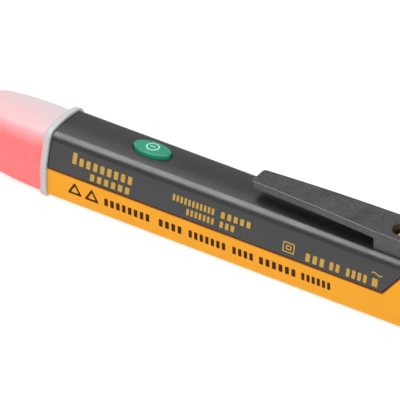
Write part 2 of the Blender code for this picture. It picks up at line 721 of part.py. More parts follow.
def clip_half_width(x):
    """Half width of the clip, which widens evenly from its free end to its root."""
    share = (x - CLIP_TIP_X) / (FOOT_X - CLIP_TIP_X)
    return CLIP_TIP_HALF + (CLIP_ROOT_HALF - CLIP_TIP_HALF) * min(1.0, share)


def make_tail_cap(frame):
    """Tail cap: end plate, hollow plug, and the raised root of the clip with the latch hole."""
    edge = PLATE_CORNER * 0.3
    plate_rings = [
        ring_at_x(outline(-RIM_PROUD), CAP_PLATE_X),
        ring_at_x(outline(-RIM_PROUD), TAIL_X - PLATE_CORNER),
        ring_at_x(outline(-RIM_PROUD + edge), TAIL_X - edge),
        ring_at_x(outline(-RIM_PROUD + PLATE_CORNER), TAIL_X),
    ]
    cap = loft("tail_cap", plate_rings)
    joint_x = CAP_PLATE_X + OVERRUN
    plug = tube("cap_plug", PLUG_OFFSET, PLUG_OFFSET + PLUG_WALL, (PLUG_START_X, joint_x))
    combine(cap, "UNION", plug, "MANIFOLD")

    rear_x = TAIL_X - ROOT_INSET
    root_corners = (
        (FOOT_X, FOOT_BOTTOM_Z, 0.0, 0),
        (joint_x, FOOT_BOTTOM_Z, 0.0, 0),
        (joint_x, ROOT_BOTTOM_Z, 0.0, 0),
        (rear_x, ROOT_BOTTOM_Z, 0.0, 0),
        (rear_x, ROOT_REAR_Z, 2.0 * MM, 4),
        (ROOT_SLOPE_X, CLIP_TOP_Z, 5.0 * MM, 3),
        (FOOT_X, CLIP_TOP_Z, 0.0, 0),
    )
    root = side_profile("clip_root", rounded_polygon(root_corners), (-CLIP_ROOT_HALF, CLIP_ROOT_HALF))
    combine(cap, "UNION", root, "MANIFOLD")

    channel_x = (FOOT_X - OVERRUN, CHANNEL_END_X)
    channel_z = (CHANNEL_BOTTOM_Z, CHANNEL_TOP_Z)
    channel = block("tongue_channel", channel_x, (-HOLE_HALF, HOLE_HALF), channel_z)
    combine(cap, "DIFFERENCE", channel, "MANIFOLD")
    hole_corners = box_corners(HOLE_X, (-HOLE_HALF, HOLE_HALF), HOLE_HALF - 0.05 * MM, 7)
    hole_points = rounded_polygon(hole_corners)
    hole_bottom_z = CHANNEL_TOP_Z - OVERRUN
    hole_rings = (ring_at_z(hole_points, hole_bottom_z), ring_at_z(hole_points, CUT_TOP_Z))
    hole = loft("latch_hole", hole_rings)
    combine(cap, "DIFFERENCE", hole, "MANIFOLD")
    finish(cap, dark_plastic(), frame, pivot=(CAP_PLATE_X, 0.0, 0.0))

    seal = tube("cap_seal", LOWER_WALL + FIT_GAP, LOWER_WALL + FIT_GAP + SEAL_THICKNESS, SEAL_X)
    finish(seal, material("seal_rubber", (0.02, 0.02, 0.02), 0.7), frame)


def make_clip_arm(frame):
    """Springy arm of the clip, which widens to its root and arches slightly."""
    end_x = FOOT_X - FIT_GAP
    steps = 8
    round_end_x = CLIP_TIP_X + TIP_ROUND
    stations = [CLIP_TIP_X, CLIP_TIP_X + TIP_ROUND * 0.3]
    stations += [round_end_x + (end_x - round_end_x) * i / steps for i in range(steps + 1)]
    tip_drop = 0.5 * MM
    rings = []
    for x in stations:
        out_of_round = 1.0 - min(1.0, (x - CLIP_TIP_X) / TIP_ROUND)
        half = clip_half_width(x) - TIP_ROUND * out_of_round ** 2
        rise = CLIP_ARCH * math.sin(math.pi * (x - CLIP_TIP_X) / (end_x - CLIP_TIP_X))
        top = CLIP_TOP_Z + rise - tip_drop * out_of_round ** 2
        bottom = CLIP_TOP_Z - CLIP_THICKNESS + rise
        corners = box_corners((-half, half), (bottom, top), CLIP_EDGE, 2)
        rings.append(ring_at_x(rounded_polygon(corners), x))
    arm = loft("clip_arm", rings)
    finish(arm, dark_plastic(), frame, pivot=(FOOT_X, 0.0, CLIP_TOP_Z - CLIP_THICKNESS / 2))


def make_latch_tongue(frame):
    """Yellow spring tongue under the clip's root, with the pad that is pressed through the hole."""
    tongue = block("latch_tongue", TONGUE_X, (-TONGUE_HALF, TONGUE_HALF), TONGUE_Z)
    pad_corners = box_corners(PAD_X, (-PAD_HALF, PAD_HALF), PAD_CORNER, 4)
    pad_points = rounded_polygon(pad_corners)
    pad_rings = (
        ring_at_z(pad_points, TONGUE_Z[0] + PAD_OVERLAP),
        ring_at_z(pad_points, PAD_TOP_Z - PAD_EDGE),
        ring_at_z(rounded_polygon(pad_corners, PAD_EDGE), PAD_TOP_Z),
    )
    combine(tongue, "UNION", loft("latch_pad", pad_rings))
    pivot = (TONGUE_X[1], 0.0, (TONGUE_Z[0] + TONGUE_Z[1]) / 2)
    finish(tongue, yellow_plastic(), frame, pivot=pivot)


def main():
    for obj in list(bpy.data.objects):
        bpy.data.objects.remove(obj, do_unlink=True)
    frame = bpy.data.objects.new("tester_frame", None)
    bpy.context.scene.collection.objects.link(frame)
    frame.location = (NIB_LENGTH - LENGTH / 2, 0.0, RIM_PROUD)
    make_lower_housing(frame)
    make_upper_housing(frame)
    make_nib(frame)
    make_antenna(frame)
    make_glow_lamps(frame)
    make_board(frame)
    make_switch(frame)
    make_button(frame)
    make_contacts(frame)
    make_spring(frame)
    make_cells(frame)
    make_tail_cap(frame)
    make_clip_arm(frame)
    make_latch_tongue(frame)
    for obj in bpy.data.objects:
        if obj.display_type == "WIRE":
            obj.parent = frame


main()
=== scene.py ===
"""Looks of a pen-type voltage tester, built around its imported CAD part.

Lengths are in metres. The layout runs from the shoulder, the plane where the nib's collar meets the
housings: x back towards the tail, y across, z up from the underside of the body. SHOULDER puts that
layout in the frame, so every piece lies where its CAD node says.
"""

import math

import bmesh
import bpy
from mathutils import Matrix, Vector


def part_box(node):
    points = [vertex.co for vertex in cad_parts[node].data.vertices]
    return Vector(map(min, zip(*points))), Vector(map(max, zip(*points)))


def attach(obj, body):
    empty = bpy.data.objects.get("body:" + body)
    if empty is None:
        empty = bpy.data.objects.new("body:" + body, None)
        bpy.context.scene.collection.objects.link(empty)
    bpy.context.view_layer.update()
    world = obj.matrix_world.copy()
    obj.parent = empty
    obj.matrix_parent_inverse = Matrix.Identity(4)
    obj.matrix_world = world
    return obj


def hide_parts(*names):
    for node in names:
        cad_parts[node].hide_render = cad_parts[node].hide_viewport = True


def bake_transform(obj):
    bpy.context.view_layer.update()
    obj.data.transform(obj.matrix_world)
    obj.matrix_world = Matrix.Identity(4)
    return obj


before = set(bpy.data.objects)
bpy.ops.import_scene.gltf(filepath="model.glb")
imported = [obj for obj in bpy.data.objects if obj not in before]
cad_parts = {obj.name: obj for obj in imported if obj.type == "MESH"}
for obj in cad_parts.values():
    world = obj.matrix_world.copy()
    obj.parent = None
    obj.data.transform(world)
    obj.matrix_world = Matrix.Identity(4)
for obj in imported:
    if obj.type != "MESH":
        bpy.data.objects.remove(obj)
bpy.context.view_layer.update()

MM = 0.001
SHOULDER = Vector((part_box("lower_housing")[0].x, 0.0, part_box("lower_housing")[0].z))


def layout_box(node):
    """Lowest and highest corner of a CAD node in the layout."""
    low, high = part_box(node)
    return low - SHOULDER, high - SHOULDER


# Housings
HOUSING_LENGTH = layout_box("lower_housing")[1].x
HALF_WIDTH = layout_box("lower_housing")[1].y
RIM_PROUD = -layout_box("tail_cap")[0].z
TAIL_X = layout_box("tail_cap")[1].x
KNUCKLE_Z = 8.4 * MM
SHOULDER_HALF = 6.9 * MM
SHOULDER_Z = 17.3 * MM
APEX_Z = 18.28 * MM
UPPER_WALL = 1.2 * MM
LOWER_WALL = 2.0 * MM
FIT_GAP = 0.3 * MM
SEAM_GAP = 0.3 * MM
SEAM_Z = 8.55 * MM
SEAM_END_X = 100.7 * MM
SEAM_CORNER_RADIUS = 1.5 * MM
LIP_RISE = 1.2 * MM
SLANT_ANGLE = math.radians(51.0)
MOULDED_EDGE = 0.1 * MM
SMALLEST_RADIUS = 0.2 * MM

# Saddles under the cells
SADDLE_XS = (20.0 * MM, 38.0 * MM, 56.0 * MM, 76.0 * MM, 98.0 * MM)
SADDLE_LENGTH = 1.2 * MM
SADDLE_TOP_Z = 7.2 * MM
SADDLE_SUNK = 0.4 * MM

# How far the cutters reach past the body
CUT_FRONT_X = -10.0 * MM
CUT_HALF_WIDTH = 15.0 * MM
CUT_TOP_Z = 30.0 * MM
OVERRUN = 1.0 * MM

# Nib
NIB_LENGTH = -layout_box("probe_nib")[0].x
COLLAR_LENGTH = 1.3 * MM
COLLAR_SKIRT = 2.1 * MM
COLLAR_SLOPE = (1.3 * MM, 0.6 * MM)
COLLAR_BACK_X = -0.03 * MM
COLLAR_BACK_EDGE = 0.15 * MM
SPIGOT_LENGTH = 4.0 * MM
SPIGOT_WALL = 0.9 * MM
NIB_WALL = 1.4 * MM
BLADE_WALL = 1.0 * MM

# Nib stations, mm: distance ahead of the shoulder, half width, underside height, top height
NIB_STATIONS = (
    (1.3, 9.05, 0.10, 17.30),
    (6.0, 9.02, 0.24, 17.30),
    (10.0, 8.92, 0.45, 17.28),
    (14.0, 8.72, 0.82, 17.18),
    (17.5, 8.38, 1.32, 16.98),
    (20.0, 8.05, 1.78, 16.80),
    (22.0, 7.72, 2.25, 16.62),
    (24.0, 6.85, 2.90, 16.05),
    (25.6, 5.40, 3.60, 15.15),
    (27.0, 3.80, 4.20, 14.20),
    (28.3, 2.60, 4.65, 13.55),
    (30.0, 1.95, 4.95, 13.15),
    (33.0, 1.70, 5.25, 12.85),
    (34.6, 1.45, 5.60, 12.50),
    (35.3, 1.00, 6.20, 11.90),
    (35.5, 0.55, 6.80, 11.30),
)
NIB_CAVITY_END = 31.0

# Button
BUTTON_LOW, BUTTON_HIGH = layout_box("power_button")
BUTTON_FLANGE = 0.8 * MM
BUTTON_FLANGE_HEIGHT = 0.45 * MM
BUTTON_X = (BUTTON_LOW.x + BUTTON_HIGH.x) / 2
BUTTON_LENGTH = BUTTON_HIGH.x - BUTTON_LOW.x - 2 * BUTTON_FLANGE
BUTTON_WIDTH = BUTTON_HIGH.y - BUTTON_LOW.y - 2 * BUTTON_FLANGE
BUTTON_EDGE = 0.35 * MM
BUTTON_DOME = 0.15 * MM
BUTTON_OPENING_Z = (15.0 * MM, 25.0 * MM)

# Tail cap and clip
CAP_PLATE_X = HOUSING_LENGTH + FIT_GAP
CAP_PLATE_CORNER = 0.8 * MM
PLUG_INSETS = (3.3 * MM, 4.3 * MM)
PLUG_LEAD = 0.5 * MM
CLIP_TIP_X = layout_box("clip_arm")[0].x
CLIP_FOOT_X = layout_box("clip_arm")[1].x + FIT_GAP
CLIP_ROOT_HALF = 5.15 * MM
CLIP_TIP_HALF = 3.25 * MM
CLIP_ROOT_TOP_Z = layout_box("tail_cap")[1].z
CLIP_THICKNESS = 2.0 * MM
CLIP_EDGE = 0.45 * MM
CLIP_TIP_RADIUS = 1.2 * MM
CLIP_ARCH = layout_box("clip_arm")[1].z - CLIP_ROOT_TOP_Z
CLIP_CLEARANCE = 0.1 * MM
ROOT_WELD_Z = 16.0 * MM
ROOT_INSET = 1.0 * MM
ROOT_REAR_Z = 20.2 * MM
ROOT_REAR_RADIUS = 2.0 * MM
ROOT_SLOPE_X = 107.5 * MM
ROOT_SLOPE_RADIUS = 5.0 * MM
HOLE_X = (98.4 * MM, 107.6 * MM)
HOLE_HALF = 2.75 * MM
HOLE_BOTTOM_Z = 20.0 * MM
HOLE_FLARE = 0.3 * MM
CHANNEL_END_X = 108.4 * MM
CHANNEL_Z = (15.5 * MM, 20.75 * MM)
FLEX_BACK_X = CLIP_FOOT_X + 1.0 * MM
FLEX_FRONT_X = CLIP_FOOT_X - 5.0 * MM
FLEX_SPACING = 0.5 * MM

# Print plates, on and in the surface
PRINT_PROUD = 0.02 * MM
PRINT_SUNK = 0.03 * MM
BLOCK_SHARE = 0.6
BLOCK_CORNER = 0.12 * MM

# Latch
TONGUE_LOW, TONGUE_HIGH = layout_box("latch_tongue")
TONGUE_THICKNESS = 1.1 * MM
TONGUE_CORNER = 0.35 * MM
PAD_X = (TONGUE_LOW.x + 2.2 * MM, TONGUE_HIGH.x - 3.0 * MM)
PAD_Y = (TONGUE_LOW.y + 0.5 * MM, TONGUE_HIGH.y - 0.5 * MM)
PAD_SUNK = 0.7 * MM
PAD_CORNER = 1.2 * MM
LATCH_EDGE = 0.25 * MM
POCKET_BOTTOM_Z = 14.9 * MM
POCKET_CORNER = 0.4 * MM

# Cells
CELL_NUB_RADIUS = 1.9 * MM
CELL_NUB_LENGTH = 0.8 * MM
CELL_BASE_RADIUS = 2.7 * MM
CELL_BAND_SHARE = 0.28

# Camera: where it looks, how far off it stands and how far beside the layout's middle it aims
VIEW_TARGET = SHOULDER + Vector((52.0, 0.0, 9.0)) * MM
VIEW_AZIMUTH = math.radians(33.3)
VIEW_ELEVATION = math.radians(34.7)
VIEW_DISTANCE = 1.968
VIEW_LENS = 703.8
AIM_LEFT = 9.53 * MM
AIM_UP = 3.13 * MM


# Outlines

def rounded_polygon(corners, inset=0.0):
    """Round the corners (u, v, radius, steps) of a counter-clockwise polygon moved inward by inset."""
    points = [Vector((u, v)) for u, v, _radius, _steps in corners]
    count = len(points)
    moved = []
    for i in range(count):
        before = (points[i] - points[i - 1]).normalized()
        after = (points[(i + 1) % count] - points[i]).normalized()
        left_before = Vector((-before.y, before.x))
        left_after = Vector((-after.y, after.x))
        mitre = (left_before + left_after) / (1.0 + left_before.dot(left_after))
        moved.append(points[i] + mitre * inset)
    rounded = []
    for i, (_u, _v, radius, steps) in enumerate(corners):
        if radius == 0.0:
            rounded.append(moved[i])
            continue
        before = (moved[i] - moved[i - 1]).normalized()
        after = (moved[(i + 1) % count] - moved[i]).normalized()
        turn = math.atan2(before.cross(after), before.dot(after))
        side = math.copysign(1.0, turn)
        arc_radius = max(radius - side * inset, SMALLEST_RADIUS)
        start = moved[i] - before * arc_radius * math.tan(abs(turn) / 2)
        centre = start + Vector((-before.y, before.x)) * arc_radius * side
        for step in range(steps + 1):
            swing = Matrix.Rotation(turn * step / steps, 2)
            rounded.append(centre + swing @ (start - centre))
    return [(point.x, point.y) for point in rounded]


def body_outline(inset=0.0):
    """Rounded body section as (y, z) points, moved inward by inset."""
    edge = (0.8 * MM, 6)
    knuckle = (6.0 * MM, 5)
    shoulder = (2.8 * MM, 14)
    crown = (28.0 * MM, 14)
    corners = (
        (-HALF_WIDTH, 0.0, *edge),
        (HALF_WIDTH, 0.0, *edge),
        (HALF_WIDTH, KNUCKLE_Z, *knuckle),
        (SHOULDER_HALF, SHOULDER_Z, *shoulder),
        (0.0, APEX_Z, *crown),
        (-SHOULDER_HALF, SHOULDER_Z, *shoulder),
        (-HALF_WIDTH, KNUCKLE_Z, *knuckle),
    )
    return rounded_polygon(corners, inset)


def circle(radius, centre=(0.0, 0.0), steps=48):
    """Circle of (u, v) points."""
    angles = [math.tau * i / steps for i in range(steps)]
    return [(centre[0] + radius * math.cos(a), centre[1] + radius * math.sin(a)) for a in angles]


def ellipse(length, width, steps=72):
    """Ellipse of (u, v) points."""
    angles = [math.tau * i / steps for i in range(steps)]
    return [(length / 2 * math.cos(a), width / 2 * math.sin(a)) for a in angles]


def rectangle(u_range, v_range, radius=0.0, steps=6, inset=0.0):
    """Rectangle of (u, v) points with rounded corners."""
    corners = (
        (u_range[0], v_range[0], radius, steps),
        (u_range[1], v_range[0], radius, steps),
        (u_range[1], v_range[1], radius, steps),
        (u_range[0], v_range[1], radius, steps),
    )
    return rounded_polygon(corners, inset)


def ring_at_x(points, x):
    """Place (y, z) points in the plane at x."""
    return [Vector((x, y, z)) for y, z in points]


def ring_at_z(points, z, centre=(0.0, 0.0)):
    """Place (x, y) points in the plane at z."""
    return [Vector((centre[0] + x, centre[1] + y, z)) for x, y in points]


def ring_at_y(points, y):
    """Place (x, z) points in the plane at y."""
    return [Vector((x, y, z)) for x, z in points]


# Solids

def solid(name, bm):
    """Close a bmesh into a new object."""
    bmesh.ops.recalc_face_normals(bm, faces=bm.faces)
    mesh = bpy.data.meshes.new(name)
    bm.to_mesh(mesh)
    bm.free()
    obj = bpy.data.objects.new(name, mesh)
    bpy.context.scene.collection.objects.link(obj)
    return obj


def loft(name, rings, closed=False):
    """Skin a row of equal rings. A closed row wraps round to its first ring, an open one is capped."""
    bm = bmesh.new()
    rows = [[bm.verts.new(point) for point in ring] for ring in rings]
    pairs = list(zip(rows, rows[1:]))
    if closed:
        pairs.append((rows[-1], rows[0]))
    else:
        bm.faces.new(rows[0])
        bm.faces.new(rows[-1])
    for lower, upper in pairs:
        for i in range(len(lower)):
            j = (i + 1) % len(lower)
            bm.faces.new((lower[i], lower[j], upper[j], upper[i]))
    return solid(name, bm)


def tube(name, outer_inset, inner_inset, x_range):
    """Length of the body section with a wall between two insets."""
    outer = body_outline(outer_inset)
    inner = body_outline(inner_inset)
    rings = (
        ring_at_x(outer, x_range[0]),
        ring_at_x(outer, x_range[1]),
        ring_at_x(inner, x_range[1]),
        ring_at_x(inner, x_range[0]),
    )
    return loft(name, rings, closed=True)


def block(name, x_range, y_range, z_range, radius=0.0):
    """Box with its upright edges rounded."""
    points = rectangle(x_range, y_range, radius)
    return loft(name, (ring_at_z(points, z_range[0]), ring_at_z(points, z_range[1])))


def side_profile(name, points, y_range):
    """Solid of an (x, z) outline, between two values of y."""
    return loft(name, (ring_at_y(points, y_range[0]), ring_at_y(points, y_range[1])))


def turned(name, profile, centre, axis, steps=48):
    """Turn a profile of (along, radius) points about an axis through centre."""
    to_axis = Vector((0, 0, 1)).rotation_difference(Vector(axis)).to_matrix()
    rings = [
        [to_axis @ Vector((u, v, along)) + Vector(centre) for u, v in circle(radius, steps=steps)]
        for along, radius in profile
    ]
    return loft(name, rings)


def bake(obj):
    """Replace a piece's mesh with what its modifiers make of it."""
    graph = bpy.context.evaluated_depsgraph_get()
    made = bpy.data.meshes.new_from_object(obj.evaluated_get(graph))
    old = obj.data
    obj.modifiers.clear()
    obj.data = made
    bpy.data.meshes.remove(old)


def combine(obj, operation, other):
    """Boolean between a piece and a helper solid, which is used up."""
    modifier = obj.modifiers.new(operation.lower(), "BOOLEAN")
    modifier.operation = operation
    modifier.solver = "MANIFOLD"
    modifier.object = other
    bake(obj)
    bpy.data.objects.remove(other, do_unlink=True)


def round_edges(obj, width, segments=3, angle=36.0):
    """Round the sharp edges of a piece and keep its large faces flat in the shading."""
    obj.data.shade_smooth()
    modifier = obj.modifiers.new("edges", "BEVEL")
    modifier.width = width
    modifier.segments = segments
    modifier.limit_method = "ANGLE"
    modifier.angle_limit = math.radians(angle)
    modifier.harden_normals = True
    bake(obj)


def weigh_normals(obj, sharp_angle):
    """Shade a piece smooth with its large faces kept flat in the shading."""
    smooth(obj, sharp_angle)
    modifier = obj.modifiers.new("flat_faces", "WEIGHTED_NORMAL")
    modifier.keep_sharp = True
    bake(obj)


def smooth(obj, sharp_angle=50.0):
    """Shade a piece smooth, except across its sharp edges."""
    obj.data.shade_smooth()
    obj.data.set_sharp_from_angle(angle=math.radians(sharp_angle))


def place(obj, body, surface, offset=(0.0, 0.0, 0.0)):
    """Put a finished piece in the frame, on its body, with its material."""
    obj.location = SHOULDER + Vector(offset)
    obj.data.materials.clear()
    obj.data.materials.append(surface)
    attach(obj, body)


# Materials

def srgb(red, green, blue):
    """Linear colour of an sRGB triple from 0 to 255."""
    scaled = [channel / 255 for channel in (red, green, blue)]
    return tuple(c / 12.92 if c <= 0.04045 else ((c + 0.055) / 1.055) ** 2.4 for c in scaled)


class Surface:
    """Node material that grows from a Principled shader and the piece's own coordinates."""

    def __init__(self, name, roughness, metallic=0.0):
        self.material = bpy.data.materials.new(name)
        self.material.use_nodes = True
        self.nodes = self.material.node_tree.nodes
        self.links = self.material.node_tree.links
        self.shader = self.nodes["Principled BSDF"]
        self.shader.inputs["Roughness"].default_value = roughness
        self.shader.inputs["Metallic"].default_value = metallic
        self.place = self.nodes.new("ShaderNodeTexCoord").outputs["Object"]

    def add(self, kind, **inputs):
        """New node with its inputs set from values or linked from outputs."""
        node = self.nodes.new(kind)
        for name, value in inputs.items():
            self.set(node.inputs[name.replace("_", " ")], value)
        return node

    def set(self, socket, value):
        """Give a socket a value, or a link when the value is another node's output."""
        if isinstance(value, bpy.types.NodeSocket):
            self.links.new(value, socket)
        else:
            socket.default_value = value

    def noise(self, size, detail=3.0, stretch=(1.0, 1.0, 1.0)):
        """Noise from 0 to 1 with features of a size, stretched along the axes."""
        spread = self.add("ShaderNodeVectorMath", Vector=self.place)
        spread.operation = "MULTIPLY"
        spread.inputs[1].default_value = [1.0 / s for s in stretch]
        made = self.add("ShaderNodeTexNoise", Vector=spread.outputs[0], Scale=1.0 / size, Detail=detail)
        return made.outputs["Fac"]

    def remap(self, value, source, target):
        """Move a value from one range to another, without leaving it."""
        made = self.add("ShaderNodeMapRange", Value=value)
        for name, number in zip(("From Min", "From Max", "To Min", "To Max"), (*source, *target)):
            made.inputs[name].default_value = number
        return made.outputs[0]

    def mix(self, share, first, second):
        """Mix two colours by a share."""
        made = self.nodes.new("ShaderNodeMix")
        made.data_type = "RGBA"
        self.set(made.inputs[0], share)
        self.set(made.inputs[6], first)
        self.set(made.inputs[7], second)
        return made.outputs[2]

    def math(self, operation, first, second):
        """Result of an operation on two values."""
        made = self.nodes.new("ShaderNodeMath")
        made.operation = operation
        self.set(made.inputs[0], first)
        self.set(made.inputs[1], second)
        return made.outputs[0]

    def sum(self, first, second):
        """Sum of two values."""
        return self.math("ADD", first, second)

    def shine(self, level):
        """Set how strongly the surface mirrors."""
        self.shader.inputs["Specular IOR Level"].default_value = level

    def axis(self, name):
        """One of the piece's own coordinates, in metres."""
        return self.add("ShaderNodeSeparateXYZ", Vector=self.place).outputs[name]

    def colour(self, value):
        """Set the base colour."""
        self.set(self.shader.inputs["Base Color"], value)

    def bump(self, height, depth):
        """Raise the surface by a height from 0 to 1 times depth."""
        made = self.add("ShaderNodeBump", Height=height, Distance=depth, Strength=1.0)
        self.links.new(made.outputs["Normal"], self.shader.inputs["Normal"])


def moulded(name, light, dark, roughness, grain, depth, shine=0.5):
    """Moulded plastic: fine spark grain, cloudy tone and uneven gloss."""
    surface = Surface(name, roughness)
    cloud = surface.remap(surface.noise(7.0 * MM, 4.0), (0.3, 0.7), (0.0, 0.5))
    speckle = surface.remap(surface.noise(grain * 2.5, 2.0), (0.3, 0.7), (0.0, 0.5))
    surface.colour(surface.mix(surface.sum(cloud, speckle), (*dark, 1.0), (*light, 1.0)))
    gloss = surface.remap(cloud, (0.0, 0.5), (roughness - 0.04, roughness + 0.04))
    surface.set(surface.shader.inputs["Roughness"], gloss)
    surface.bump(surface.noise(grain, 3.0), depth)
    surface.shine(shine)
    return surface


def dark_plastic():
    light, dark = srgb(21, 20, 21), srgb(16, 15, 16)
    return moulded("housing_grey", light, dark, 0.36, 0.16 * MM, 0.005 * MM, 0.86).material


def clip_plastic():
    light, dark = srgb(73, 73, 73), srgb(32, 32, 32)
    return moulded("clip_grey", light, dark, 0.34, 0.3 * MM, 0.02 * MM, 0.62).material


def yellow_plastic():
    """Orange-yellow plastic, darkened where the seam's lip and edge lie in the shade of the dark shell."""
    light, dark = srgb(243, 165, 22), srgb(236, 157, 16)
    surface = moulded("housing_yellow", light, dark, 0.4, 0.16 * MM, 0.006 * MM, 0.22)
    below = surface.math("SUBTRACT", SEAM_Z, surface.axis("Z"))
    along = surface.math("SUBTRACT", surface.axis("X"), SEAM_END_X)
    behind = surface.sum(
        surface.math("MULTIPLY", along, math.sin(SLANT_ANGLE)),
        surface.math("MULTIPLY", below, math.cos(SLANT_ANGLE)),
    )
    distance = surface.math("MAXIMUM", below, behind)
    shade = surface.remap(distance, (0.32 * MM, 0.56 * MM), (0.92, 0.0))
    plain = surface.shader.inputs["Base Color"].links[0].from_socket
    surface.colour(surface.mix(shade, plain, (*srgb(126, 62, 24), 1.0)))
    return surface.material


def latch_plastic():
    light, dark = srgb(243, 165, 22), srgb(236, 157, 16)
    return moulded("latch_yellow", light, dark, 0.4, 0.16 * MM, 0.006 * MM, 0.3).material


def green_plastic():
    light, dark = srgb(34, 142, 112), srgb(26, 132, 104)
    return moulded("button_green", light, dark, 0.36, 0.2 * MM, 0.006 * MM).material


def nib_plastic():
    """Frosted plastic lit red from inside, with the glow painted into its colour and emission: painted glow
    deep at the sides, paler on top where the studio light falls and the glow is painted weaker, greyer
    towards the far side.
    """
    surface = Surface("nib_frosted_painted_glow", 0.42)
    painted_glow_deep, painted_glow_blush, frost = srgb(225, 102, 104), srgb(226, 180, 183), srgb(200, 198, 199)
    rise = surface.remap(surface.axis("Z"), (12.4 * MM, 16.9 * MM), (0.0, 1.0))
    rise = surface.sum(rise, surface.remap(surface.noise(4.0 * MM, 3.0), (0.3, 0.7), (-0.05, 0.05)))
    far = surface.remap(surface.axis("Y"), (-5.0 * MM, 6.0 * MM), (0.0, 0.95))
    near_collar = surface.remap(surface.axis("X"), (-9.0 * MM, -1.0 * MM), (0.0, 0.5))
    top = surface.mix(surface.sum(far, near_collar), (*painted_glow_blush, 1.0), (*frost, 1.0))
    # Painted glow and painted light: deep red low on the nib, blending up into the paler top.
    surface.colour(surface.mix(rise, (*painted_glow_deep, 1.0), top))
    # The emission is painted glow as well, strongest low on the sides.
    surface.shader.inputs["Emission Color"].default_value = (1.0, 0.1, 0.11, 1.0)
    surface.set(surface.shader.inputs["Emission Strength"], surface.remap(rise, (0.0, 1.0), (0.38, 0.04)))
    surface.shader.inputs["Subsurface Weight"].default_value = 0.25
    surface.shader.inputs["Subsurface Radius"].default_value = (1.0, 0.4, 0.35)
    surface.shader.inputs["Subsurface Scale"].default_value = 1.2 * MM
    surface.bump(surface.noise(0.25 * MM, 3.0), 0.006 * MM)
    return surface.material


def collar_plastic():
    """Milky plastic with the nib's red glow painted along its front edge, more so at the sides and below."""
    light, dark = srgb(194, 194, 193), srgb(186, 186, 185)
    surface = moulded("collar_clear_white", light, dark, 0.4, 0.2 * MM, 0.006 * MM)
    forward = surface.remap(surface.axis("X"), (-COLLAR_SKIRT, -0.9 * MM), (0.8, 0.0))
    low = surface.remap(surface.axis("Z"), (12.0 * MM, 17.0 * MM), (1.0, 0.15))
    plain = surface.shader.inputs["Base Color"].links[0].from_socket
    # Painted glow: the nib's red spilling onto the collar's front edge.
    painted_glow_share = surface.math("MULTIPLY", forward, low)
    surface.colour(surface.mix(painted_glow_share, plain, (*srgb(226, 128, 130), 1.0)))
    return surface.material


def print_ink(name, light, dark, shine=0.5):
    """Pad-printed ink, a little uneven where it sits on the grain."""
    surface = Surface(name, 0.5)
    surface.colour(surface.mix(surface.noise(0.3 * MM, 2.0), (*dark, 1.0), (*light, 1.0)))
    surface.bump(surface.noise(0.2 * MM, 2.0), 0.006 * MM)
    surface.shine(shine)
    return surface.material


def metal(name, light, dark, roughness, stretch=(1.0, 1.0, 1.0)):
    """Rolled or drawn metal with fine marks along one axis."""
    surface = Surface(name, roughness, 1.0)
    marks = surface.noise(0.4 * MM, 4.0, stretch)
    surface.colour(surface.mix(marks, (*dark, 1.0), (*light, 1.0)))
    gloss = surface.remap(marks, (0.3, 0.7), (roughness - 0.08, roughness + 0.1))
    surface.set(surface.shader.inputs["Roughness"], gloss)
    surface.bump(marks, 0.004 * MM)
    return surface.material


def board_plastic():
    """Green solder mask over a pattern of copper tracks."""
    surface = Surface("board_green", 0.35)
    weave = surface.nodes.new("ShaderNodeTexVoronoi")
    weave.distance = "CHEBYCHEV"
    surface.links.new(surface.place, weave.inputs["Vector"])
    weave.inputs["Scale"].default_value = 1.0 / (2.2 * MM)
    tracks = surface.remap(weave.outputs["Distance"], (0.28, 0.34), (0.0, 1.0))
    surface.colour(surface.mix(tracks, (*srgb(38, 112, 62), 1.0), (*srgb(20, 78, 44), 1.0)))
    surface.bump(tracks, 0.03 * MM)
    return surface.material


def lamp_plastic():
    """Clear red resin that glows a little."""
    surface = Surface("led_red", 0.15)
    light, dark = srgb(206, 36, 38), srgb(170, 20, 24)
    surface.colour(surface.mix(surface.noise(1.0 * MM, 2.0), (*dark, 1.0), (*light, 1.0)))
    surface.shader.inputs["Transmission Weight"].default_value = 0.5
    surface.shader.inputs["Emission Color"].default_value = (1.0, 0.05, 0.05, 1.0)
    surface.shader.inputs["Emission Strength"].default_value = 0.35
    surface.bump(surface.noise(0.5 * MM, 2.0), 0.004 * MM)
    return surface.material


def cell_jacket(name, first, second, band_x, length):
    """Printed metal foil round a cell, one colour up to a band and another after it."""
    surface = Surface(name, 0.3, 0.55)
    along = surface.remap(surface.axis("X"), (band_x - 0.1 * MM, band_x + 0.1 * MM), (0.0, 1.0))
    far = surface.remap(surface.axis("X"), (length - 1.1 * MM, length - 1.0 * MM), (1.0, 0.0))
    printed = surface.math("MULTIPLY", along, far)
    streaks = surface.noise(0.6 * MM, 3.0, (6.0, 1.0, 1.0))
    shaded = [0.9 * channel for channel in first]
    foil = surface.mix(streaks, (*first, 1.0), (*shaded, 1.0))
    surface.colour(surface.mix(printed, foil, (*second, 1.0)))
    surface.bump(surface.noise(1.5 * MM, 3.0), 0.02 * MM)
    return surface.material


# Housings

def upper_region(name, shrink):
    """Everything above the seam and ahead of the slanted end, made smaller by shrink."""
    slant_run = (CUT_TOP_Z - SEAM_Z) / math.tan(SLANT_ANGLE)
    corners = (
        (CUT_FRONT_X, SEAM_Z, 0.0, 0),
        (SEAM_END_X, SEAM_Z, SEAM_CORNER_RADIUS, 10),
        (SEAM_END_X + slant_run, CUT_TOP_Z, 0.0, 0),
        (CUT_FRONT_X, CUT_TOP_Z, 0.0, 0),
    )
    return side_profile(name, rounded_polygon(corners, shrink), (-CUT_HALF_WIDTH, CUT_HALF_WIDTH))


def tongue_pocket(name):
    """Slot that the latch tongue lies and flexes in."""
    x_range = (TONGUE_LOW.x - FIT_GAP, TONGUE_HIGH.x + FIT_GAP)
    y_range = (TONGUE_LOW.y - FIT_GAP, TONGUE_HIGH.y + FIT_GAP)
    return block(name, x_range, y_range, (POCKET_BOTTOM_Z, CUT_TOP_Z), POCKET_CORNER)


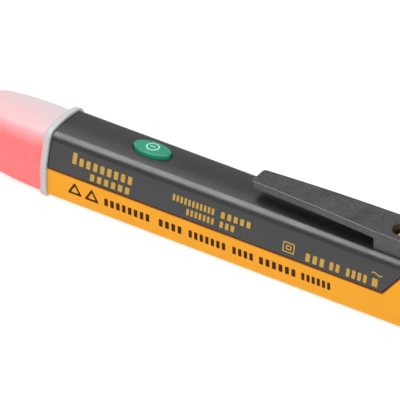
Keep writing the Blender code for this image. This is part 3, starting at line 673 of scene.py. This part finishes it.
def make_upper_shell(surface):
    """Dark shell above the seam, with the button's opening."""
    shell = tube("upper_shell", 0.0, UPPER_WALL, (0.0, HOUSING_LENGTH))
    combine(shell, "INTERSECT", upper_region("upper_keep", SEAM_GAP / 2))
    opening = ellipse(BUTTON_LENGTH + 2 * FIT_GAP, BUTTON_WIDTH + 2 * FIT_GAP)
    opening_rings = [ring_at_z(opening, z, (BUTTON_X, 0.0)) for z in BUTTON_OPENING_Z]
    combine(shell, "DIFFERENCE", loft("button_opening", opening_rings))
    combine(shell, "DIFFERENCE", tongue_pocket("upper_tongue_pocket"))
    round_edges(shell, MOULDED_EDGE, 2)
    place(shell, "housing", surface)
    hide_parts("upper_housing")


def make_lower_shell(surface):
    """Yellow trough that closes to a ring at the tail, with the lip inside the seam and the cell saddles."""
    shell = tube("lower_shell", 0.0, LOWER_WALL, (0.0, HOUSING_LENGTH))
    rebate = tube("lower_rebate", -OVERRUN, UPPER_WALL + FIT_GAP, (-OVERRUN, HOUSING_LENGTH + OVERRUN))
    combine(rebate, "INTERSECT", upper_region("lower_rebate_region", -SEAM_GAP / 2))
    combine(shell, "DIFFERENCE", rebate)
    combine(shell, "DIFFERENCE", upper_region("above_lip", LIP_RISE))
    combine(shell, "DIFFERENCE", tongue_pocket("lower_tongue_pocket"))
    cell_low, cell_high = layout_box("battery_rear")
    cell_axis_z = (cell_low.z + cell_high.z) / 2
    bore_radius = cell_high.y + FIT_GAP
    bore_reach = 10.0 * MM
    half = HALF_WIDTH - LOWER_WALL + SADDLE_SUNK
    z_range = (LOWER_WALL - SADDLE_SUNK, SADDLE_TOP_Z)
    for x in SADDLE_XS:
        saddle = block("saddle", (x, x + SADDLE_LENGTH), (-half, half), z_range)
        bore_profile = ((-bore_reach, bore_radius), (bore_reach, bore_radius))
        combine(saddle, "DIFFERENCE", turned("saddle_bore", bore_profile, (x, 0.0, cell_axis_z), (1, 0, 0)))
        combine(shell, "UNION", saddle)
    round_edges(shell, MOULDED_EDGE, 2)
    place(shell, "housing", surface)
    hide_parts("lower_housing")


# Nib

def curve_through(stations, distance):
    """Values at a distance on the smooth curve through rows that begin with their distance."""
    last = len(stations) - 1
    here = next((i for i in range(last) if distance <= stations[i + 1][0]), last - 1)
    rows = [stations[max(0, min(last, here + step))] for step in (-1, 0, 1, 2)]
    span = rows[2][0] - rows[1][0]
    share = (distance - rows[1][0]) / span
    values = []
    for before, near, far, after in zip(*[row[1:] for row in rows]):
        slope_near = (far - before) / max(rows[2][0] - rows[0][0], span) * span
        slope_far = (after - near) / max(rows[3][0] - rows[1][0], span) * span
        square, cube = share ** 2, share ** 3
        values.append(
            (2 * cube - 3 * square + 1) * near
            + (cube - 2 * square + share) * slope_near
            + (3 * square - 2 * cube) * far
            + (cube - square) * slope_far
        )
    return values


def nib_section(distance, wall):
    """Nib section at a distance in mm ahead of the shoulder, moved inward by wall."""
    half, bottom, top = (MM * value for value in curve_through(NIB_STATIONS, distance))
    outline = body_outline()
    crown = max(z for _y, z in outline)
    wide = (half - wall) / HALF_WIDTH
    tall = (top - bottom - 2 * wall) / crown
    points = [(y * wide, bottom + wall + z * tall) for y, z in outline]
    return ring_at_x(points, -distance * MM)


def nib_distances(start, end, step):
    """Distances for the nib's rings, which crowd together towards its tip."""
    count = round((end - start) / step)
    return [start + (end - start) * (1 - (1 - i / count) ** 1.5) for i in range(count + 1)]


def make_nib(surface):
    """Hollow frosted nib: spigot inside the housings, taper and flat blade."""
    spigot_outer = body_outline(LOWER_WALL + FIT_GAP)
    spigot_inner = body_outline(LOWER_WALL + FIT_GAP + SPIGOT_WALL)
    collar_front = COLLAR_LENGTH / MM
    inner_step, outer_step = 1.5, 0.8
    cavity = []
    for distance in reversed(nib_distances(collar_front, NIB_CAVITY_END, inner_step)):
        share = distance / NIB_CAVITY_END
        cavity.append(nib_section(distance, NIB_WALL + (BLADE_WALL - NIB_WALL) * share))
    tip = NIB_LENGTH / MM
    rings = [
        *cavity,
        ring_at_x(spigot_inner, 0.0),
        ring_at_x(spigot_inner, SPIGOT_LENGTH),
        ring_at_x(spigot_outer, SPIGOT_LENGTH),
        ring_at_x(spigot_outer, -COLLAR_LENGTH / 2),
        nib_section(collar_front / 2, 0.0),
        *[nib_section(distance, 0.0) for distance in nib_distances(collar_front, tip, outer_step)],
    ]
    nib = loft("nib_shell", rings)
    smooth(nib, 40.0)
    place(nib, "housing", surface)
    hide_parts("probe_nib")


def make_collar(surface):
    """Pale ring between the nib and the housings: a small round at its back, a long soft slope to the nib."""
    slope_run, slope_drop = COLLAR_SLOPE
    turns = 8
    rings = [ring_at_x(body_outline(LOWER_WALL), COLLAR_BACK_X)]
    for step in range(turns + 1):
        angle = math.pi / 2 * step / turns
        x = COLLAR_BACK_X - COLLAR_BACK_EDGE * (1 - math.cos(angle))
        inset = COLLAR_BACK_EDGE * (1 - math.sin(angle)) - RIM_PROUD
        rings.append(ring_at_x(body_outline(inset), x))
    for step in range(turns + 1):
        angle = math.pi / 2 * step / turns
        x = -COLLAR_SKIRT + slope_run * (1 - math.sin(angle))
        inset = slope_drop * (1 - math.cos(angle)) - RIM_PROUD
        rings.append(ring_at_x(body_outline(inset), x))
    rings.append(ring_at_x(body_outline(LOWER_WALL), -COLLAR_SKIRT))
    collar = loft("nib_collar", rings, closed=True)
    smooth(collar, 50.0)
    place(collar, "housing", surface)


# Button

def button_ring(z, inset):
    """Oval of the button at a height, moved inward by inset."""
    return ring_at_z(ellipse(BUTTON_LENGTH - 2 * inset, BUTTON_WIDTH - 2 * inset), z, (BUTTON_X, 0.0))


def make_button(surface):
    """Oval button: retaining flange, upright wall, rounded edge and a slightly domed top."""
    flange_top_z = BUTTON_LOW.z + BUTTON_FLANGE_HEIGHT
    rings = [
        button_ring(BUTTON_LOW.z, -BUTTON_FLANGE),
        button_ring(flange_top_z, -BUTTON_FLANGE),
        button_ring(flange_top_z, 0.0),
    ]
    rim_z = BUTTON_HIGH.z - BUTTON_DOME
    turns = 7
    for step in range(turns + 1):
        angle = math.pi / 2 * step / turns
        edge_z = rim_z - BUTTON_EDGE * (1 - math.sin(angle))
        rings.append(button_ring(edge_z, BUTTON_EDGE * (1 - math.cos(angle))))
    for step in range(1, turns):
        share = step / turns
        top_z = BUTTON_HIGH.z - BUTTON_DOME * (1 - share) ** 2
        rings.append(button_ring(top_z, BUTTON_EDGE + (BUTTON_WIDTH / 2 - BUTTON_EDGE) * share))
    button = loft("button_cap", rings)
    smooth(button, 45.0)
    place(button, "button", surface)
    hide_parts("power_button")
    return button


def make_button_mark(button, surface):
    """Raised ring and bar on the button's top, closed plates that follow its dome."""
    ring_radius = 1.85 * MM
    bar_half = 0.8 * MM
    stroke = 0.38 * MM
    sunk, proud = -0.1 * MM, 0.03 * MM
    squeeze = 0.88
    shift = 0.25 * MM

    def on_button(points, lift):
        """Points (x, y) about the button's middle, put on its surface and lifted off it."""
        placed = []
        for x, y in points:
            above = Vector((BUTTON_X + x, y * squeeze + shift, 1.0))
            _hit, on_top, _normal, _index = button.ray_cast(above, Vector((0.0, 0.0, -1.0)))
            placed.append(on_top + Vector((0.0, 0.0, lift)))
        return placed

    outer = circle(ring_radius, steps=64)
    inner = circle(ring_radius - stroke, steps=64)
    ring_rows = (
        on_button(outer, sunk),
        on_button(outer, proud),
        on_button(inner, proud),
        on_button(inner, sunk),
    )
    ring = loft("power_ring", ring_rows, closed=True)
    bar_points = rectangle((-bar_half, bar_half), (-stroke / 2, stroke / 2), 0.1 * MM, 3)
    bar = loft("power_bar", (on_button(bar_points, sunk), on_button(bar_points, proud)))
    for piece in (ring, bar):
        smooth(piece, 45.0)
        place(piece, "button", surface)


# Tail cap with the clip

def clip_top_z(x):
    """Height of the clip's top, which arches slightly between its free end and its foot."""
    share = min(1.0, (x - CLIP_TIP_X) / (CLIP_FOOT_X - CLIP_TIP_X))
    return CLIP_ROOT_TOP_Z + CLIP_ARCH * math.sin(math.pi * share)


def clip_section(x, half, bottom, top):
    """Cross-section of the clip or its root, with rounded edges."""
    corners = (
        (-half, bottom, CLIP_EDGE / 2, 4),
        (half, bottom, CLIP_EDGE / 2, 4),
        (half, top, CLIP_EDGE, 6),
        (-half, top, CLIP_EDGE, 6),
    )
    return ring_at_x(rounded_polygon(corners), x)


def make_clip_solid():
    """Arm and root of the clip in one loft: rounded free end, even taper, foot step, sloping back."""
    rings = []
    turns = 8
    for step in range(turns + 1):
        angle = math.pi / 2 * (1 - step / turns)
        x = CLIP_TIP_X + CLIP_TIP_RADIUS * (1 - math.sin(angle))
        half = CLIP_TIP_HALF - CLIP_TIP_RADIUS * (1 - math.cos(angle))
        into_edge = max(0.0, 1 - (x - CLIP_TIP_X) / CLIP_EDGE)
        drop = CLIP_EDGE * (1 - math.sqrt(1 - into_edge ** 2))
        top = clip_top_z(x)
        rings.append(clip_section(x, half, top - CLIP_THICKNESS + drop / 2, top - drop))
    arm_start_x = CLIP_TIP_X + CLIP_TIP_RADIUS
    steps = 16
    for step in range(1, steps + 1):
        share = step / steps
        x = arm_start_x + (CLIP_FOOT_X - arm_start_x) * share
        half = CLIP_TIP_HALF + (CLIP_ROOT_HALF - CLIP_TIP_HALF) * share
        rings.append(clip_section(x, half, clip_top_z(x) - CLIP_THICKNESS, clip_top_z(x)))
    rear_x = TAIL_X - ROOT_INSET
    side_corners = (
        (CLIP_FOOT_X, ROOT_WELD_Z, 0.0, 0),
        (rear_x, ROOT_WELD_Z, 0.0, 0),
        (rear_x, ROOT_REAR_Z, ROOT_REAR_RADIUS, 8),
        (ROOT_SLOPE_X, CLIP_ROOT_TOP_Z, ROOT_SLOPE_RADIUS, 8),
        (CLIP_FOOT_X, CLIP_ROOT_TOP_Z, 0.0, 0),
    )
    for x, top in reversed(rounded_polygon(side_corners)[2:]):
        rings.append(clip_section(x, CLIP_ROOT_HALF, ROOT_WELD_Z, top))
    clip = loft("clip_solid", rings)
    clearance = body_outline(-CLIP_CLEARANCE)
    clearance_x = (CLIP_FOOT_X - OVERRUN, CAP_PLATE_X - 0.05 * MM)
    clearance_rings = [ring_at_x(clearance, x) for x in clearance_x]
    combine(clip, "DIFFERENCE", loft("housing_clearance", clearance_rings))
    return clip


def slice_along_x(obj, start, end, spacing):
    """Add cross cuts to a mesh between two values of x, so that it can bend there."""
    bm = bmesh.new()
    bm.from_mesh(obj.data)
    for i in range(round((end - start) / spacing) + 1):
        everything = [*bm.verts, *bm.edges, *bm.faces]
        cut = Vector((start + i * spacing, 0.0, 0.0))
        bmesh.ops.bisect_plane(bm, geom=everything, plane_co=cut, plane_no=(1.0, 0.0, 0.0))
    bm.to_mesh(obj.data)
    bm.free()


def make_tail_cap(surface):
    """Tail cap in one moulding with its clip: end plate, hollow plug, root with the latch hole, and arm."""
    rings = [ring_at_x(body_outline(-RIM_PROUD), CAP_PLATE_X)]
    turns = 6
    for step in range(turns + 1):
        angle = math.pi / 2 * step / turns
        x = TAIL_X - CAP_PLATE_CORNER * (1 - math.sin(angle))
        inset = CAP_PLATE_CORNER * (1 - math.cos(angle)) - RIM_PROUD
        rings.append(ring_at_x(body_outline(inset), x))
    cap = loft("tail_cap_and_clip", rings)
    plug_x = (layout_box("cap_seal")[0].x - PLUG_LEAD, CAP_PLATE_X + OVERRUN)
    combine(cap, "UNION", tube("cap_plug", *PLUG_INSETS, plug_x))
    combine(cap, "UNION", make_clip_solid())
    hole_y = (-HOLE_HALF, HOLE_HALF)
    channel_x = (CLIP_FOOT_X - OVERRUN, CHANNEL_END_X)
    combine(cap, "DIFFERENCE", block("channel", channel_x, hole_y, CHANNEL_Z))
    hole_radius = HOLE_HALF - 0.05 * MM
    hole_points = rectangle(HOLE_X, hole_y, hole_radius, 12)
    flared_points = rectangle(HOLE_X, hole_y, hole_radius, 12, -2 * HOLE_FLARE)
    hole_rings = (
        ring_at_z(hole_points, HOLE_BOTTOM_Z),
        ring_at_z(hole_points, CLIP_ROOT_TOP_Z - HOLE_FLARE),
        ring_at_z(flared_points, CLIP_ROOT_TOP_Z + HOLE_FLARE),
    )
    combine(cap, "DIFFERENCE", loft("latch_hole", hole_rings))
    slice_along_x(cap, FLEX_FRONT_X, FLEX_BACK_X, FLEX_SPACING)
    weigh_normals(cap, 40.0)
    cap.data.transform(Matrix.Translation(SHOULDER))
    cap.data.materials.clear()
    cap.data.materials.append(surface)
    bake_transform(cap)
    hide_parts("tail_cap", "clip_arm")


# Latch

def make_latch(surface):
    """Yellow spring tongue with the pad that is pressed through the hole in the clip's root."""
    x_range = (TONGUE_LOW.x, TONGUE_HIGH.x)
    y_range = (TONGUE_LOW.y, TONGUE_HIGH.y)
    tongue_top_z = TONGUE_LOW.z + TONGUE_THICKNESS
    tongue = block("latch_shell", x_range, y_range, (TONGUE_LOW.z, tongue_top_z), TONGUE_CORNER)
    pad = block("pad", PAD_X, PAD_Y, (tongue_top_z - PAD_SUNK, TONGUE_HIGH.z), PAD_CORNER)
    combine(tongue, "UNION", pad)
    round_edges(tongue, LATCH_EDGE)
    place(tongue, "latch", surface)
    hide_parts("latch_tongue")


# Print

def print_plane(corner_low, corner_high):
    """Plane through two corners of the body section: its foot, its upward and its outward direction."""
    low = Vector((0.0, *corner_low))
    up = (Vector((0.0, *corner_high)) - low).normalized()
    return low, up, Vector((0.0, -up.z, up.y))


def bars(x_range, z_range, count, first_rise=0.0):
    """Row of plain blocks that stands in for a word. The first one may be taller than the rest."""
    pitch = (x_range[1] - x_range[0]) / count
    width = BLOCK_SHARE * pitch
    made = []
    for i in range(count):
        x = x_range[0] + i * pitch
        top = z_range[1] + (first_rise if i == 0 else 0.0)
        made.append((rectangle((x, x + width), (z_range[0], top), BLOCK_CORNER, 2), None))
    return made


def hollow(corners, stroke):
    """Outline of a polygon drawn with a stroke of even width."""
    return rounded_polygon(corners), rounded_polygon(corners, stroke)


def triangle(x, z, width, height, stroke):
    """Plain triangle outline that stands at x and z."""
    radius = 0.25 * MM
    corners = ((x, z, radius, 3), (x + width, z, radius, 3), (x + width / 2, z + height, radius, 3))
    return hollow(corners, stroke)


def square(x, z, width, height, stroke):
    """Plain rectangle outline that stands at x and z."""
    corners = ((x, z), (x + width, z), (x + width, z + height), (x, z + height))
    return hollow([(u, v, 0.1 * MM, 1) for u, v in corners], stroke)


def wave(x, z, length, height, stroke):
    """One period of a wave drawn with a stroke."""
    steps = 16
    line = []
    for i in range(steps + 1):
        share = i / steps
        line.append((x + length * share, z + height * math.sin(math.tau * share)))
    lower = [(u, v - stroke / 2) for u, v in line]
    upper = [(u, v + stroke / 2) for u, v in reversed(line)]
    return lower + upper, None


def make_print(name, marks, plane, surface):
    """Printed marks as thin closed plates on a flat side of a housing."""
    low, up, outward = plane
    bm = bmesh.new()

    def ring(points, lift):
        """Corners (x, z) of a mark, put on the plane and lifted off it."""
        base = low + outward * lift
        return [bm.verts.new(base + Vector((x, 0, 0)) + up * ((z - low.z) / up.z)) for x, z in points]

    for outer, inner in marks:
        rows = [ring(outer, -PRINT_SUNK), ring(outer, PRINT_PROUD)]
        if inner:
            rows += [ring(inner, PRINT_PROUD), ring(inner, -PRINT_SUNK), rows[0]]
        else:
            bm.faces.new(rows[0])
            bm.faces.new(rows[1])
        for near, far in zip(rows, rows[1:]):
            for i in range(len(near)):
                j = (i + 1) % len(near)
                bm.faces.new((near[i], near[j], far[j], far[i]))
    made = solid(name, bm)
    place(made, "housing", surface)


def make_dark_side_print(surface):
    """Gold marks on the dark side: two name lines, two range lines, a double square and a rating row."""
    plane = print_plane((-HALF_WIDTH, KNUCKLE_Z), (-SHOULDER_HALF, SHOULDER_Z))
    marks = [
        *bars((7.2 * MM, 26.2 * MM), (11.9 * MM, 14.0 * MM), 9, 0.9 * MM),
        *bars((13.0 * MM, 25.8 * MM), (9.25 * MM, 11.0 * MM), 6),
        *bars((37.7 * MM, 50.6 * MM), (12.15 * MM, 13.85 * MM), 11),
        *bars((52.2 * MM, 61.8 * MM), (12.15 * MM, 13.85 * MM), 5),
        *bars((42.2 * MM, 50.9 * MM), (9.7 * MM, 11.35 * MM), 7),
        *bars((52.2 * MM, 57.2 * MM), (9.7 * MM, 11.35 * MM), 3),
        square(71.0 * MM, 9.75 * MM, 3.5 * MM, 2.7 * MM, 0.3 * MM),
        square(71.95 * MM, 10.5 * MM, 1.6 * MM, 1.2 * MM, 0.28 * MM),
        *bars((77.9 * MM, 84.2 * MM), (9.3 * MM, 11.45 * MM), 3),
        *bars((85.0 * MM, 88.6 * MM), (9.4 * MM, 11.5 * MM), 2),
        *bars((89.9 * MM, 96.6 * MM), (9.4 * MM, 11.5 * MM), 4),
        *bars((97.5 * MM, 100.2 * MM), (9.4 * MM, 11.5 * MM), 1),
        wave(97.0 * MM, 12.7 * MM, 3.2 * MM, 0.25 * MM, 0.32 * MM),
    ]
    make_print("side_print_gold", marks, plane, surface)


def make_yellow_side_print(surface):
    """Dark marks on the yellow side: two plain triangles and one row of words."""
    plane = print_plane((-HALF_WIDTH, 0.0), (-HALF_WIDTH, KNUCKLE_Z))
    row = (3.45 * MM, 5.65 * MM)
    marks = [
        triangle(6.3 * MM, 3.3 * MM, 4.5 * MM, 3.7 * MM, 0.6 * MM),
        triangle(11.5 * MM, 3.2 * MM, 4.5 * MM, 3.7 * MM, 0.6 * MM),
        *bars((17.6 * MM, 32.0 * MM), row, 8),
        *bars((34.2 * MM, 41.8 * MM), row, 4),
        *bars((43.2 * MM, 54.9 * MM), row, 7),
        *bars((56.4 * MM, 63.2 * MM), row, 4),
        *bars((64.4 * MM, 76.0 * MM), row, 6),
        *bars((77.0 * MM, 86.2 * MM), row, 6),
    ]
    make_print("side_print_dark", marks, plane, surface)


# Inside

def make_cell(node, body, first, second):
    """One cell: jacket with a rolled edge at both ends, nub at the front and a dished base."""
    low, high = layout_box(node)
    radius = high.y
    length = high.x - low.x
    profile = (
        (0.0, CELL_NUB_RADIUS - 0.3 * MM),
        (0.1 * MM, CELL_NUB_RADIUS - 0.08 * MM),
        (0.3 * MM, CELL_NUB_RADIUS),
        (CELL_NUB_LENGTH, CELL_NUB_RADIUS),
        (CELL_NUB_LENGTH, radius - 1.3 * MM),
        (CELL_NUB_LENGTH - 0.25 * MM, radius - 1.0 * MM),
        (CELL_NUB_LENGTH, radius - 0.5 * MM),
        (CELL_NUB_LENGTH + 0.15 * MM, radius - 0.15 * MM),
        (CELL_NUB_LENGTH + 0.45 * MM, radius),
        (length - 0.45 * MM, radius),
        (length - 0.12 * MM, radius - 0.15 * MM),
        (length, radius - 0.5 * MM),
        (length - 0.2 * MM, radius - 1.0 * MM),
        (length - 0.2 * MM, CELL_BASE_RADIUS + 0.3 * MM),
        (length, CELL_BASE_RADIUS),
    )
    cell = turned(f"{node}_cell", profile, (0.0, 0.0, 0.0), (1, 0, 0))
    smooth(cell, 35.0)
    surface = cell_jacket(f"{node}_jacket", first, second, CELL_BAND_SHARE * length, length)
    front_centre = (low.x, (low.y + high.y) / 2, (low.z + high.z) / 2)
    place(cell, body, surface, front_centre)
    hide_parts(node)


def dress_inside():
    """Give the working pieces inside the tester their finishes."""
    nickel = metal("nickel_sheet", srgb(206, 202, 194), srgb(178, 174, 166), 0.3, (6.0, 1.0, 1.0))
    brass = metal("brass_sheet", srgb(214, 172, 96), srgb(186, 142, 70), 0.32, (8.0, 1.0, 1.0))
    light, dark = srgb(40, 40, 42), srgb(28, 28, 30)
    black = moulded("part_black", light, dark, 0.45, 0.12 * MM, 0.01 * MM).material
    light, dark = srgb(232, 231, 226), srgb(220, 219, 214)
    white = moulded("holder_white", light, dark, 0.45, 0.2 * MM, 0.008 * MM).material
    light, dark = srgb(178, 126, 62), srgb(160, 110, 52)
    tan = moulded("capacitor_tan", light, dark, 0.5, 0.1 * MM, 0.01 * MM).material
    light, dark = srgb(30, 30, 30), srgb(20, 20, 20)
    rubber = moulded("seal_rubber", light, dark, 0.7, 0.2 * MM, 0.02 * MM, 0.3).material
    lamp = lamp_plastic()
    board = board_plastic()
    finishes = {
        "sensor_antenna": brass,
        "glow_led_left": lamp,
        "glow_led_right": lamp,
        "led_holder": white,
        "circuit_board": board,
        "detector_chip": black,
        "filter_capacitor": tan,
        "timing_resistor": black,
        "buzzer": black,
        "switch_body": black,
        "switch_plunger": white,
        "front_contact": nickel,
        "return_strip": nickel,
        "tail_contact": nickel,
        "tail_spring": nickel,
        "cap_seal": rubber,
    }
    for node, surface in finishes.items():
        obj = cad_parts[node]
        for slot in obj.material_slots:
            slot.material = surface


# Stage

def make_stage():
    """Plain pale floor under the tester."""
    half = 3.0
    thickness = 0.01
    outline = rectangle((-half, half), (-half, half))
    floor = loft("floor", (ring_at_z(outline, -thickness), ring_at_z(outline, 0.0)))
    surface = Surface("floor_white", 0.9)
    surface.colour(surface.mix(surface.noise(0.3, 2.0), (0.34, 0.34, 0.34, 1.0), (0.36, 0.36, 0.36, 1.0)))
    surface.shader.inputs["Specular IOR Level"].default_value = 0.0
    surface.shader.inputs["Emission Color"].default_value = (1.0, 1.0, 1.0, 1.0)
    surface.shader.inputs["Emission Strength"].default_value = 0.76
    floor.data.materials.append(surface.material)


def make_light(name, direction, distance, size, radiance, across):
    """Soft rectangular light that faces the middle of the tester, its first side along across."""
    data = bpy.data.lights.new(name, "AREA")
    data.shape = "RECTANGLE"
    data.size, data.size_y = size
    data.energy = radiance * math.pi * size[0] * size[1]
    light = bpy.data.objects.new(name, data)
    bpy.context.scene.collection.objects.link(light)
    towards = Vector(direction).normalized()
    side = (Vector(across) - towards * towards.dot(Vector(across))).normalized()
    turn = Matrix((side, towards.cross(side), towards)).transposed()
    light.matrix_world = Matrix.Translation(VIEW_TARGET + towards * distance) @ turn.to_4x4()


def make_lights():
    """Dim white surround, a wide softbox above the tester, and weak fills from its left side and its tail."""
    world = bpy.data.worlds.new("studio")
    world.use_nodes = True
    nodes, links = world.node_tree.nodes, world.node_tree.links
    direction = nodes.new("ShaderNodeTexCoord")
    height = nodes.new("ShaderNodeSeparateXYZ")
    strength = nodes.new("ShaderNodeMapRange")
    links.new(direction.outputs["Generated"], height.inputs[0])
    links.new(height.outputs["Z"], strength.inputs["Value"])
    strength.inputs["To Min"].default_value = 0.6
    strength.inputs["To Max"].default_value = 0.38
    nodes["Background"].inputs["Color"].default_value = (1.0, 1.0, 1.0, 1.0)
    links.new(strength.outputs[0], nodes["Background"].inputs["Strength"])
    bpy.context.scene.world = world
    make_light("softbox", (-0.45, -0.1, 0.88), 0.7, (0.7, 0.26), 6.2, (0.0, 1.0, 0.0))
    make_light("front_fill", (0.55, -0.6, 0.6), 0.9, (0.6, 0.6), 1.3, (1.0, 0.0, 0.0))
    make_light("top_fill", (0.45, -0.1, 0.88), 0.9, (0.6, 0.6), 1.3, (1.0, 0.0, 0.0))
    bpy.context.scene.view_settings.view_transform = "Standard"


def make_camera():
    """Long lens from the front right, above. It aims beside the target, which puts the tail out of view."""
    level = math.cos(VIEW_ELEVATION)
    back = Vector(
        (
            math.sin(VIEW_AZIMUTH) * level,
            -math.cos(VIEW_AZIMUTH) * level,
            math.sin(VIEW_ELEVATION),
        )
    )
    turn = back.to_track_quat("Z", "Y")
    aim = turn @ Vector((-AIM_LEFT, AIM_UP, -VIEW_DISTANCE))
    data = bpy.data.cameras.new("camera")
    data.lens = VIEW_LENS
    data.clip_start = 0.1
    data.clip_end = 20.0
    camera = bpy.data.objects.new("camera", data)
    bpy.context.scene.collection.objects.link(camera)
    camera.location = VIEW_TARGET + back * VIEW_DISTANCE
    camera.rotation_mode = "QUATERNION"
    camera.rotation_quaternion = (-back).rotation_difference(aim) @ turn
    bpy.context.scene.camera = camera


def main():
    make_upper_shell(dark_plastic())
    make_lower_shell(yellow_plastic())
    make_nib(nib_plastic())
    make_collar(collar_plastic())
    button = make_button(green_plastic())
    make_button_mark(button, print_ink("button_mark", srgb(176, 228, 212), srgb(160, 214, 198)))
    make_tail_cap(clip_plastic())
    make_latch(latch_plastic())
    make_dark_side_print(print_ink("gold_ink", srgb(200, 158, 56), srgb(180, 136, 42)))
    make_yellow_side_print(print_ink("brown_ink", srgb(66, 28, 6), srgb(54, 20, 4), 0.15))
    make_cell("battery_front", "front_cell", srgb(196, 196, 200), srgb(52, 84, 132))
    make_cell("battery_rear", "rear_cell", srgb(196, 196, 200), srgb(52, 84, 132))
    dress_inside()
    make_stage()
    make_lights()
    make_camera()


main()
